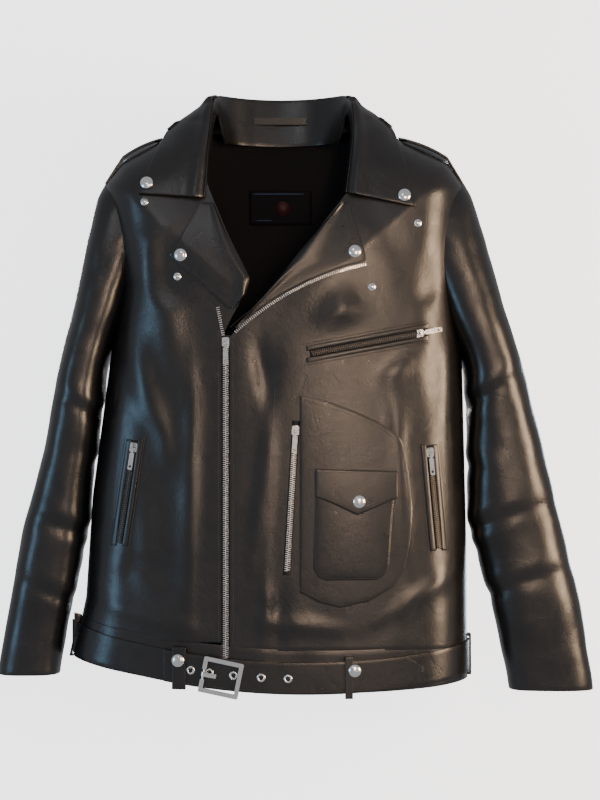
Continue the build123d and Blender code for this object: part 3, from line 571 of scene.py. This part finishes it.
label = back_patch(-35, 41, 557, 599, -11.6)
bmesh.ops.reverse_faces(label, faces=label.faces)
neck_label = finish_piece("neck_label", label, woven_label, 0.0006, "jacket_body", ["neck_label"], edge=0)
blue_thread = thread_material("blue_thread", (0.01, 0.05, 0.12))
for mark_name, mark in (("label_bar_top", (-31, 32, 594.2, 595.4)), ("label_bar_low", (-27, -8, 562.0, 563.0))):
    bar = back_patch(*mark, -12.4)
    bmesh.ops.reverse_faces(bar, faces=bar.faces)
    finish_piece(mark_name, bar, blue_thread, 0.0003, "jacket_body", [], edge=0)
disc = bmesh.new()
bmesh.ops.create_circle(disc, segments=40, radius=9 * MM, cap_ends=True)
bmesh.ops.inset_region(disc, faces=disc.faces, thickness=1.5 * MM)
disc_y = float(body_y(6 * MM, 577 * MM, -12.6 * MM, True))
disc_place = Matrix.Translation((6 * MM, disc_y, HEM + 577 * MM)) @ Matrix.Rotation(radians(96.2), 4, "X")
bmesh.ops.transform(disc, matrix=disc_place, verts=disc.verts)
finish_piece("label_disc", disc, thread_material("dark_red_thread", (0.045, 0.006, 0.008)), 0.0004, "jacket_body", [],
             edge=0)

# ---- lapels and collar ---------------------------------------------------------------
# Doubled hide, folded over at the roll line, with a soft swell along the fold.
# The left lapel's lower edge is the main zip's upper half, an arc through three points.
trim = leather_material("trim_hide", (0.0065, 0.006, 0.006), 0.26, 1000)


def arc_points(start, middle, end, count=16):
    """Points along the arc through three front-view points."""
    xs = np.linspace(start[0], end[0], count)
    flipped = [(p[0], -p[1]) for p in (start, middle, end)]
    return [(x, -h) for x, h in zip(xs, arc_height(flipped, xs))]


ZIP_EDGE = [(-50, 424), (8, 467), (103, 504)]
lapel_low = arc_points(*ZIP_EDGE)
right_lapel = finish_piece("right_lapel", panel_mesh((449, 573), [(448, -55), (511, -125), (573, -89)],
                                       [(448, -50), (464, -36), (484, -31), (533, -57), (573, -74)], 2.6,
                                       count=(36, 44), folded=0, ends=False, roll=(1.0, 2.6), puff=0.8),
             trim, 0.0020, "right_lapel", ["right_lapel"], edge=0.0009)
left_lapel = finish_piece("left_lapel", panel_mesh((426, 573), [(421, -50), (501, 15), (545, 51), (573, 76)],
                                      flip(lapel_low) + [(507, 105), (573, 84)], 2.6,
                                      count=(36, 50), folded=0, ends=False, roll=(0.0, 2.6), puff=0.8),
             trim, 0.0020, "left_lapel", ["left_lapel"], edge=0.0009)

# The collar is one turned-down piece from tip to tip. Its fold runs up from each notch and round the
# back of the neck; its outer edge runs from each tip over the shoulder and across the back.
COLLAR_FOLD = [(-86, None, 579), (-83.5, None, 610), (-82.5, None, 640), (-80.5, None, 668), (-78, -31, 693),
               (-77, -18, 704), (-73, 2, 709), (-60, 24, 710), (-36, 37, 709), (3, 42, 708), (44, 37, 709),
               (68, 24, 710), (83, 2, 709), (88, -18, 704), (90, -31, 693), (92, None, 668), (90.5, None, 645),
               (86, None, 614), (82, None, 585)]
COLLAR_EDGE = [(-163, None, 584), (-153, None, 611), (-144, None, 634), (-137, None, 653), (-133, -22, 663),
               (-130, -6, 666), (-122, 22, 658), (-96, 46, 642), (-50, 58, 634), (3, 61, 631), (56, 58, 634),
               (104, 46, 642), (126, 22, 660), (134, -6, 669), (138, -22, 667), (143, None, 653), (148, None, 632),
               (154, None, 604), (162, None, 568)]
COLLAR_LIFT = 5.4


def push_out(x, y, h, lift):
    """Move points, millimetres, that are under the body's lifted surface out to it."""
    front = body_y(x * MM, h * MM, lift * MM) / MM
    back = body_y(x * MM, h * MM, lift * MM, True) / MM
    return np.where((y > front) & (y <= -4), front, np.where((y < back) & (y > -4), back, y))


def settled(points):
    """Collar points as an array, with the open ones laid on the body's front."""
    return np.array([(x, float(body_y(x * MM, h * MM, COLLAR_LIFT * MM)) / MM if y is None else y, h)
                     for x, y, h in points])


def smooth_rows(points, at):
    """Places along a line of points, rounded between them."""
    line = np.stack([np.interp(np.linspace(0, 1, 181), np.linspace(0, 1, len(points)), points[:, k])
                     for k in range(3)], axis=1)
    for _ in range(3):
        line[1:-1] = (line[:-2] + 2 * line[1:-1] + line[2:]) / 4
    kernel = np.ones(9) / 9
    padded = np.pad(line, ((4, 4), (0, 0)), mode="edge")
    rounded = np.stack([np.convolve(padded[:, k], kernel, mode="valid") for k in range(3)], axis=1)
    rounded[0], rounded[-1] = line[0], line[-1]
    return np.stack([np.interp(at, np.linspace(0, 1, 181), rounded[:, k]) for k in range(3)], axis=1)


def from_neck(face):
    """How far out a face is, level, from the middle of the neck."""
    middle = face.calc_center_median()
    return Vector((middle.x - 0.003, middle.y, 0))


def collar_part(start, end, across=22, along=60):
    """The collar between two places along it: its rolled fold, then the part that is turned down."""
    bm, grid = unit_grid(along, across)
    where, down = start + (end - start) * grid[:, 0], grid[:, 1]
    fold, edge = smooth_rows(settled(COLLAR_FOLD), where), smooth_rows(settled(COLLAR_EDGE), where)
    place = fold + (edge - fold) * down[:, None]
    behind = np.clip((place[:, 1] + 20) / 50, 0, 1)
    place[:, 2] += 13 * behind * np.sin(pi * np.clip(down, 0, 1))**0.8
    place[:, 1] += 5 * behind * np.sin(pi * down)
    place[:, 1] = push_out(*place.T, COLLAR_LIFT)
    swell = 3.6 * np.exp(-((down - 0.10) / 0.13)**2) - 4.2 * np.exp(-(down / 0.045)**2)
    swell += 1.2 * np.sin(pi * down) + 0.7 * np.array([noise.noise(Vector(p) * 0.035) for p in place])
    away = place - np.array([3, 0, 0])
    away[:, 2] = np.where(place[:, 1] > -22, 12, 0)
    away[:, 0] *= np.where(place[:, 1] > -22, 0.6, 0.12)
    away[:, 1] = np.where(place[:, 1] > -22, place[:, 1] * 1.2, -60)
    away /= np.linalg.norm(away, axis=1)[:, None]
    place += away * swell[:, None]
    put(bm, place * MM)
    turn_faces(bm, lambda face: face.normal.dot(from_neck(face) + Vector((0, 0, 0.01))))
    return bm


RIGHT_JOIN, LEFT_JOIN = 0.235, 0.765
right_leaf = finish_piece("right_collar_leaf", collar_part(0, RIGHT_JOIN), trim, 0.0024, None, ["right_collar_leaf"],
                          edge=0.001)
left_leaf = finish_piece("left_collar_leaf", collar_part(LEFT_JOIN, 1), trim, 0.0024, None, ["left_collar_leaf"],
                         edge=0.001)
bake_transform(right_leaf)
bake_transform(left_leaf)
back_collar = collar_part(RIGHT_JOIN, LEFT_JOIN, across=26, along=110)

# The stand inside the collar, from the fold down to the neck seam, and the turned edge below it in front.
STAND_INSET = 2.2
stand, grid = unit_grid(150, 12)
fold = smooth_rows(settled(COLLAR_FOLD), grid[:, 0])
middle = np.array([3.0, 0.0])
inward = middle - fold[:, :2]
inward /= np.linalg.norm(inward, axis=1)[:, None]
behind = np.clip((fold[:, 1] + 45) / 45, 0, 1)
depth = 14 + 44 * behind
fold[:, :2] += inward * (STAND_INSET + (5 * behind + 3) * grid[:, 1])[:, None]
fold[:, 2] += 0.6 - depth * grid[:, 1] * behind
fold[:, 1] += (1 - behind) * (2 + 12 * grid[:, 1])
put(stand, fold * MM)
turn_faces(stand, lambda face: -face.normal.dot(from_neck(face)))
absorb(back_collar, stand, "stand")
back_collar = finish_piece("back_collar", back_collar, trim, 0.0022, "jacket_body", ["back_collar"],
                           edge=0.001)

# ---- shoulder straps -----------------------------------------------------------------
# A strap of doubled hide along each shoulder, sewn in at the armhole.
# It follows the shoulder's ridge and stands up a little in the middle.
for side_name, near, far in (("right", -139, -206.5), ("left", 145, 222.5)):
    edge = RIGHT_EDGE if side_name == "right" else LEFT_EDGE
    order = np.argsort(edge[edge[:, 1] > 0.59][:, 0])
    ridge = edge[edge[:, 1] > 0.59][order]
    bm = bmesh.new()
    bmesh.ops.create_grid(bm, x_segments=26, y_segments=12, size=0.5)
    for vert in bm.verts:
        along, across = vert.co.x + 0.5, vert.co.y * 2
        x = (near + (far - near) * along) * MM
        taper = min(1.0, 0.35 + along * 6)
        top = np.interp(x, ridge[:, 0], ridge[:, 1])
        vert.co = (x, across * 0.019 * taper, HEM + top + 0.0042 - 0.0035 * across**2 + 0.0055 * sin(pi * along))
    turn_faces(bm, lambda face: face.normal.z)
    strap = finish_piece(f"{side_name}_epaulette", bm, trim, 0.0030, f"{side_name}_epaulette",
                         [f"{side_name}_epaulette"], edge=0.001)

# ---- pockets -------------------------------------------------------------------------
# A curved D facing, and on it a patch pouch with a pointed flap.
# The chest and hand pockets have folded lips either side of their zips.
D_TOP = [(27, 347), (55, 342), (91, 329), (118, 317), (138, 304), (147, 293), (153, 262), (158.5, 216)]
D_BOTTOM = [(27, 118), (50, 106), (74, 100), (107, 107), (136, 124), (149, 144), (156, 177), (158.5, 210)]
d_panel = finish_piece("d_pocket_panel", panel_mesh((27, 158.4), D_BOTTOM, D_TOP, 2.0, count=(50, 50), folded=0.35,
                                                    by_x=True, ends=False, puff=1.0),
                       hide, 0.0016, "jacket_body", ["d_pocket_panel"])
pouch = finish_piece("flap_pocket_pouch", panel_mesh((132, 256), [(132, 57), (136, 48), (148, 42), (256, 45)],
                                             [(132, 115), (136, 125), (148, 131), (256, 139)], 3.6, count=(36, 40),
                                             folded=0.3, ends=False, puff=2.4), trim, 0.0022, "jacket_body",
             ["flap_pocket_pouch"], edge=0.0008)
flap = finish_piece("pocket_flap", panel_mesh((45, 141), [(45, 230), (60, 224), (94, 208), (127, 222), (141, 228)],
                                       [(45, 262), (141, 259)], 8.2, count=(20, 40), folded=0, by_x=True, ends=False,
                                       puff=0.6), trim, 0.0020, "pocket_flap", ["pocket_flap"],
             edge=0.0008)


def joined_piece(name, parts, material, wall, nodes, edge=0.0006, body="jacket_body"):
    """Several panels as one piece."""
    whole = bmesh.new()
    for part in parts:
        absorb(whole, part, name)
    return finish_piece(name, whole, material, wall, body, nodes, edge=edge)


LIP = (4.0, 10.0)
chest_line = [(34, 394.9), (178, 422.1)]
chest_lips = [panel_mesh((34, 178), [(x, h + low) for x, h in chest_line], [(x, h + high) for x, h in chest_line],
                         1.8, count=(8, 50), folded=0, by_x=True, ends=False, puff=0.8)
              for low, high in ((LIP[0], LIP[1]), (-LIP[1], -LIP[0]))]
lips = joined_piece("chest_pocket_lips", chest_lips, trim, 0.0016, ["chest_pocket_welts"])
hand_lips = []
for (top_x, top_h), (low_x, low_h) in (((-166.4, 296), (-185.6, 171)), ((178.6, 290), (190.4, 165))):
    for low, high in ((LIP[0], LIP[1]), (-LIP[1], -LIP[0])):
        hand_lips.append(panel_mesh((low_h, top_h), [(low_h, low_x + low), (top_h, top_x + low)],
                                    [(low_h, low_x + high), (top_h, top_x + high)], 1.6, count=(8, 44), folded=0,
                                    ends=False, puff=0.8))
lips = joined_piece("hand_pocket_lips", hand_lips, trim, 0.0016, ["hand_pocket_welts"])

# ---- belt ----------------------------------------------------------------------------
# A strap of thick hide round the waistband, its free end doubled over in front.
# Two loops in front hold it, each under a snap.
BELT_HALF = 18.5
LOOP_HALF, LOOP_LIFT = 24, 7.9
belt_ring = ring_mesh(BELT_ARC, -BELT_HALF, BELT_HALF, 2.8, count=(200, 8), wave=0.8, seed=3.0)
xs = np.linspace(-132, 171, 30)
middle = arc_height(BELT_ARC, xs)
taper = np.clip((171 - xs) / 17, 0.12, 1)
belt_low, belt_high = (list(zip(xs, middle + way * BELT_HALF * taper)) for way in (-1, 1))
belt_end = panel_mesh((-132, 171), belt_low, belt_high, 5.6, count=(10, 120), folded=0, by_x=True, ends=False)
belt = joined_piece("belt_strap", [belt_ring, belt_end], trim, 0.0024, ["belt_strap"], edge=0.0008)
loop_parts = []
for x, width in ((-114, 16), (84, 9)):
    height = float(arc_height(BELT_ARC, x))
    low, high = height - LOOP_HALF, height + LOOP_HALF
    loop_parts.append(panel_mesh((low, high), [(low, x - width / 2), (high, x - width / 2)],
                                 [(low, x + width / 2), (high, x + width / 2)], LOOP_LIFT, count=(8, 24), folded=0,
                                 ends=False))
loops = joined_piece("belt_loops", loop_parts, trim, 0.0018, [])

# ---- snaps and eyelets ---------------------------------------------------------------
# Bright nickel domes pressed over the hide, with their ring studs on the body below them.
# The belt's eyelets are rolled rings. Profiles are (radius, height) in millimetres.
def metal(name, colour, roughness):
    """Plated metal with fine handling scratches."""
    material, nodes, links, shader = new_material(name, Metallic=1.0)
    scratch = texture(nodes, links, "Noise", Scale=420, Detail=6)
    toned(nodes, links, scratch.outputs["Fac"], shade(colour, 0.82), colour, shader, (0.3, 0.7))
    polished(nodes, links, scratch.outputs["Fac"], roughness, roughness + 0.15, shader)
    return material


nickel = metal("bright_nickel", (0.92, 0.91, 0.89), 0.12)
zip_metal = metal("zip_nickel", (0.88, 0.86, 0.84), 0.20)
# Nickel painted dark, as painted shade, for the teeth that sit deep between the pocket lips.
painted_shade_zip_metal = metal("painted_shade_zip_nickel", (0.12, 0.11, 0.10), 0.38)


def surface_place(x, height, lift):
    """A matrix that stands a turned part on the body's front at a front-view point, millimetres."""
    x, h, step = x * MM, height * MM, 0.001
    y = float(body_y(x, h))
    dx = (float(body_y(x + step, h)) - float(body_y(x - step, h))) / (2 * step)
    dh = (float(body_y(x, h + step)) - float(body_y(x, h - step))) / (2 * step)
    out = Vector((dx, -1, dh)).normalized()
    turn = out.to_track_quat("Z", "Y").to_matrix().to_4x4()
    return Matrix.Translation(Vector((x, y, h + HEM)) + out * lift * MM) @ turn


def turned(profile, steps=32):
    """A round part from its half profile, (radius, height) in millimetres."""
    bm = bmesh.new()
    verts = [bm.verts.new((r * MM, 0, z * MM)) for r, z in profile]
    edges = [bm.edges.new(pair) for pair in zip(verts[:-1], verts[1:])]
    bmesh.ops.spin(bm, geom=verts + edges, cent=(0, 0, 0), axis=(0, 0, 1), angle=2 * pi, steps=steps, use_merge=True)
    bmesh.ops.remove_doubles(bm, verts=bm.verts, dist=1e-6)
    bmesh.ops.recalc_face_normals(bm, faces=bm.faces)
    return bm


CAP = [(0, 2.9), (2.5, 2.8), (4.8, 2.35), (6.4, 1.55), (7.1, 0.9), (7.5, 0.6), (7.5, 0.1), (7.0, -0.2), (0, -0.2)]
STUD = [(0, 2.4), (1.6, 2.4), (2.3, 2.0), (2.1, 1.2), (2.2, 0.9), (3.6, 0.9), (4.6, 0.5), (4.7, 0), (0, -0.1)]
EYELET = [(2.6, 0.2), (2.8, 0.9), (3.6, 1.3), (4.6, 1.0), (5.2, 0.3), (5.2, 0), (2.6, 0), (2.6, 0.2)]


def turned_piece(name, profile, places, body, nodes, material):
    """One or more turned parts standing on the body."""
    whole = bmesh.new()
    for place in places:
        part = turned(profile)
        bmesh.ops.transform(part, matrix=surface_place(*place), verts=part.verts)
        absorb(whole, part, name)
    return finish_piece(name, whole, material, 0, body, nodes)


for cap_name, place, body in (("right_collar_snap", (-152, 594, 6.9), "right_collar"),
                              ("left_collar_snap", (149, 580, 6.9), "left_collar"),
                              ("right_lapel_snap", (-112, 511, 3.2), "right_lapel"),
                              ("left_lapel_snap", (91, 515, 3.2), "left_lapel"),
                              ("pocket_flap_snap", (95, 224, 8.9), "pocket_flap")):
    turned_piece(cap_name, CAP, [place], body, [cap_name], nickel)
loop_snaps = [(x, float(arc_height(BELT_ARC, x)) + rise, 8.0) for x, rise in ((-114, 9), (90, 8))]
turned_piece("belt_loop_snaps", CAP, loop_snaps, "jacket_body", ["belt_loop_snaps"], nickel)
turned_piece("body_snap_studs", STUD, [(-155, 574, 0.2), (165, 549, 0.2), (-116, 486, 0.2), (111, 474, 0.2)],
             "jacket_body", ["body_snap_studs"], nickel)
eyelet_places = [(x, float(arc_height(BELT_ARC, x)), 5.6) for x in (-99.5, -78, -50, -18, 13)]
turned_piece("belt_eyelets", EYELET, eyelet_places, "jacket_body", ["belt_eyelets"], nickel)

# ---- zips ----------------------------------------------------------------------------
# Nickel teeth clamped to the edges of black woven tapes; two rows mesh where the zip is closed.
# The teeth deep between pocket lips take a darker, rougher nickel, whose dark colour is painted shade.
PITCH = 2.5
TOOTH = (3.7, 1.15, 1.7)   # across the tape, along it, and high


def small_block(name, size, edge):
    """The mesh of a block with softened edges, in millimetres."""
    block = bmesh.new()
    bmesh.ops.create_cube(block, size=1.0)
    bmesh.ops.scale(block, vec=[length * MM for length in size], verts=block.verts)
    bmesh.ops.bevel(block, geom=block.edges[:], offset=edge * MM, segments=1, affect="EDGES", profile=0.5,
                    material=-1)
    mesh = bpy.data.meshes.new(name)
    block.to_mesh(mesh)
    block.free()
    return mesh


def stamp(whole, mesh, place):
    """Add a copy of a mesh at a place."""
    before = len(whole.verts)
    whole.from_mesh(mesh)
    whole.verts.ensure_lookup_table()
    bmesh.ops.transform(whole, matrix=place, verts=whole.verts[before:])


tooth_mesh = small_block("tooth", TOOTH, 0.22)


def path_frames(points, lift, pitch=PITCH):
    """Evenly spaced places along a front-view line, each facing out from the body."""
    line = np.array(points, float)
    lengths = np.concatenate([[0], np.cumsum(np.hypot(*np.diff(line, axis=0).T))])
    places = []
    for run in np.arange(0, lengths[-1], pitch):
        x, height = np.interp(run, lengths, line[:, 0]), np.interp(run, lengths, line[:, 1])
        nx, nh = (np.interp(min(run + 1, lengths[-1]), lengths, line[:, k]) for k in (0, 1))
        px, ph = (np.interp(max(run - 1, 0), lengths, line[:, k]) for k in (0, 1))
        base = surface_place(x, height, lift)
        out = (base.to_3x3() @ Vector((0, 0, 1))).normalized()
        along = Vector((nx - px, 0, nh - ph)).normalized()
        across = along.cross(out).normalized()
        along = out.cross(across)
        turn = Matrix((across, along, out)).transposed().to_4x4()
        places.append(Matrix.Translation(base.translation) @ turn)
    return places


def teeth(name, lines, body, nodes, lift=0.6, material=zip_metal):
    """Rows of teeth: each line is its points or places, and the sides that its teeth stand on."""
    whole = bmesh.new()
    for points, sides in lines:
        for place in points if isinstance(points[0], Matrix) else path_frames(points, lift):
            for side in sides:
                shift = Matrix.Translation((side * 1.35 * MM, (side > 0) * PITCH / 2 * MM, 0))
                stamp(whole, tooth_mesh, place @ shift)
    return finish_piece(name, whole, material, 0, body, nodes, smooth=False)


def tape_strip(points, half, lift):
    """A flat strip of tape along a front-view line, or through places."""
    bm = bmesh.new()
    places = points if isinstance(points[0], Matrix) else path_frames(points, lift)
    rows = [[bm.verts.new(place @ Vector((side * half * MM, 0, 0))) for side in (-1, 1)] for place in places]
    for low, high in zip(rows[:-1], rows[1:]):
        bm.faces.new((low[0], low[1], high[1], high[0]))
    face_out(bm)
    return bm


main_line = [(-59.5, 42), (-59.5, 412)]
edge_line = [(x + 0.6, h - 2.6) for x, h in arc_points(*ZIP_EDGE, count=30)]
teeth("main_zip_teeth", [(main_line, (-1, 1)), ([(-61, 418), (-64, 432), (-68, 452)], (-1,))], "jacket_body",
      ["main_zip_teeth"])
teeth("left_lapel_zip_teeth", [(edge_line, (1,))], "left_lapel", ["left_lapel_zip_teeth"], lift=3.4)
teeth("d_pocket_zip_teeth", [([(22, 312), (12, 143)], (-1, 1))], "jacket_body", ["d_pocket_zip"])
# The chest and hand zip teeth use the nickel painted dark with painted shade.
teeth("chest_zip_teeth", [([(170, 420.6), (40, 396)], (-1, 1))], "jacket_body", ["chest_zip"],
      material=painted_shade_zip_metal)
teeth("hand_zip_teeth", [([(-167, 292), (-185, 175)], (-1, 1)), ([(179, 286), (190, 169)], (-1, 1))], "jacket_body",
      ["hand_pocket_zips"], material=painted_shade_zip_metal)
woven = plain_material("woven_tape", (0.008, 0.008, 0.009), 0.85)
pocket_tapes = [[(22.4, 318), (11.6, 138)], [(176, 421.6), (36, 395.4)], [(-166.6, 295), (-185.4, 172)],
                [(178.7, 289), (190.3, 166)]]
tapes = joined_piece("zip_tapes", [tape_strip([(-59.5, 40), (-59.5, 420)], 5.2, -0.6)] +
                     [tape_strip(line, 4.6, 0.3) for line in pocket_tapes],
                     woven, 0.0004, ["main_zip_tapes"], edge=0)


def cuff_places(sections, lift):
    """Evenly spaced places up a cuff zip, each facing out from the back of the sleeve."""
    start, end = cuff_line(sections)
    along = (end - start).normalized()
    out = Vector((1, 0, 0)).cross(along)
    out = out if out.y > 0 else -out
    turn = Matrix((along.cross(out), along, out)).transposed().to_4x4()
    return [Matrix.Translation(start + along * run * MM + out * lift * MM + Vector((0, 0, HEM))) @ turn
            for run in np.arange(12, 74, PITCH)]


for side_name, sections in (("right", RIGHT_SLEEVE), ("left", LEFT_SLEEVE)):
    sleeve_body = f"{side_name}_sleeve"
    teeth(f"{side_name}_cuff_teeth", [(cuff_places(sections, 0.5), (-1, 1))], sleeve_body, [f"{side_name}_cuff_zip"])
    tape = finish_piece(f"{side_name}_cuff_tape", tape_strip(cuff_places(sections, 0.0), 5.2, 0), woven, 0.0004,
                        sleeve_body, [], edge=0)

# ---- stitching -----------------------------------------------------------------------
# Waxed thread, sunk into the hide a few millimetres in from each sewn edge.
# Each stitch is its own small block; rows follow the folds of the hide below them.
STITCH = 3.4
stitch_mesh = small_block("stitch", (0.75, 2.5, 0.5), 0.16)
waxed_thread = thread_material("waxed_thread", (0.030, 0.024, 0.020), 0.5)


def stitches(name, lines, body):
    """Rows of stitches: each line is its points, its distance off the body, and the folds it follows, if any."""
    whole = bmesh.new()
    for points, lift, folded in lines:
        for place in path_frames(points, lift, STITCH):
            if folded:
                spot = place.translation
                x, h = np.array([spot.x]), np.array([spot.z - HEM])
                shift = float((folds(x, h, folded[0]) * folded[1] * np.clip(edge_distance(x, h) / 0.03, 0, 1))[0])
                place = Matrix.Translation((0, -shift, 0)) @ place
            stamp(whole, stitch_mesh, place)
    return finish_piece(name, whole, waxed_thread, 0, body, [], smooth=False)


def inset_line(points, step):
    """Front-view points moved sideways by a step, to the left of their direction."""
    line = np.array(points, float)
    run = np.gradient(line, axis=0)
    run /= np.hypot(*run.T)[:, None]
    return [(x - step * dh, h + step * dx) for (x, h), (dx, dh) in zip(line, run)]


pouch_edge = [(47.5, 254), (44.5, 150), (46, 142), (52, 136), (60, 134.6), (114, 134.6), (122, 136.5), (127.5, 142),
              (129, 150), (136.5, 254)]
flap_edge = [(47, 232), (61, 226.5), (94, 211), (126, 224.5), (139.5, 230)]
stitches("pocket_stitching", [
    (pouch_edge, 5.9, None),
    (inset_line(D_TOP, -3.0), 2.2, (0.0, 0.35)),
    (inset_line(D_BOTTOM, 3.0), 2.2, (0.0, 0.35)),
    (inset_line(D_TOP, -6.0), 2.2, (0.0, 0.35)),
], "jacket_body")
stitches("flap_stitching", [(flap_edge, 8.5, None), ([(47, 258.5), (139.5, 257)], 8.6, None)], "pocket_flap")
pocket_seams = [([(33, 383), (40, 383.5), (179, 409.6)], 1.9), ([(31, 407), (176, 434.3)], 1.9),
                ([(-179, 297), (-198, 170)], 1.8), ([(-154, 299), (-173, 170)], 1.8),
                ([(166.5, 292), (178, 163)], 1.8), ([(191.5, 292), (203, 165)], 1.8)]
stitches("front_stitching", [
    ([(-51, 60), (-51, 408)], 0.1, (2.0, 1.0)), ([(-68, 62), (-68, 425)], 0.1, (1.0, 1.0)),
    ([(-11, 222), (-7, 290), (-2, 356)], 0.15, (2.0, 1.0))] + [(*seam, None) for seam in pocket_seams], "jacket_body")
stitches("right_lapel_stitching", [([(-52, 451.5), (-120.5, 511), (-87, 569), (-77, 569)], 2.8, None)], "right_lapel")
stitches("left_lapel_stitching", [(inset_line(lapel_low, 4.5), 3.0, None), ([(101, 507), (82, 569)], 2.9, None)],
         "left_lapel")
belt_xs = np.linspace(-128, 152, 60)
stitches("belt_stitching", [(list(zip(belt_xs, arc_height(BELT_ARC, belt_xs) + rise)), 5.9, None)
                            for rise in (-BELT_HALF + 3, BELT_HALF - 3)], "jacket_body")

# ---- hardware finish -----------------------------------------------------------------
# Sliders, pullers, buckle and prong keep their designed shapes and take the plated finish; the small
# loops at the sides and the neck take the trim hide.
for node_name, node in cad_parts.items():
    if "slider" in node_name or "puller" in node_name or "buckle" in node_name:
        node.data.materials.clear()
        node.data.materials.append(nickel)
    if node_name in ("belt_loops", "hanger_loop"):
        node.data.materials.clear()
        node.data.materials.append(trim)
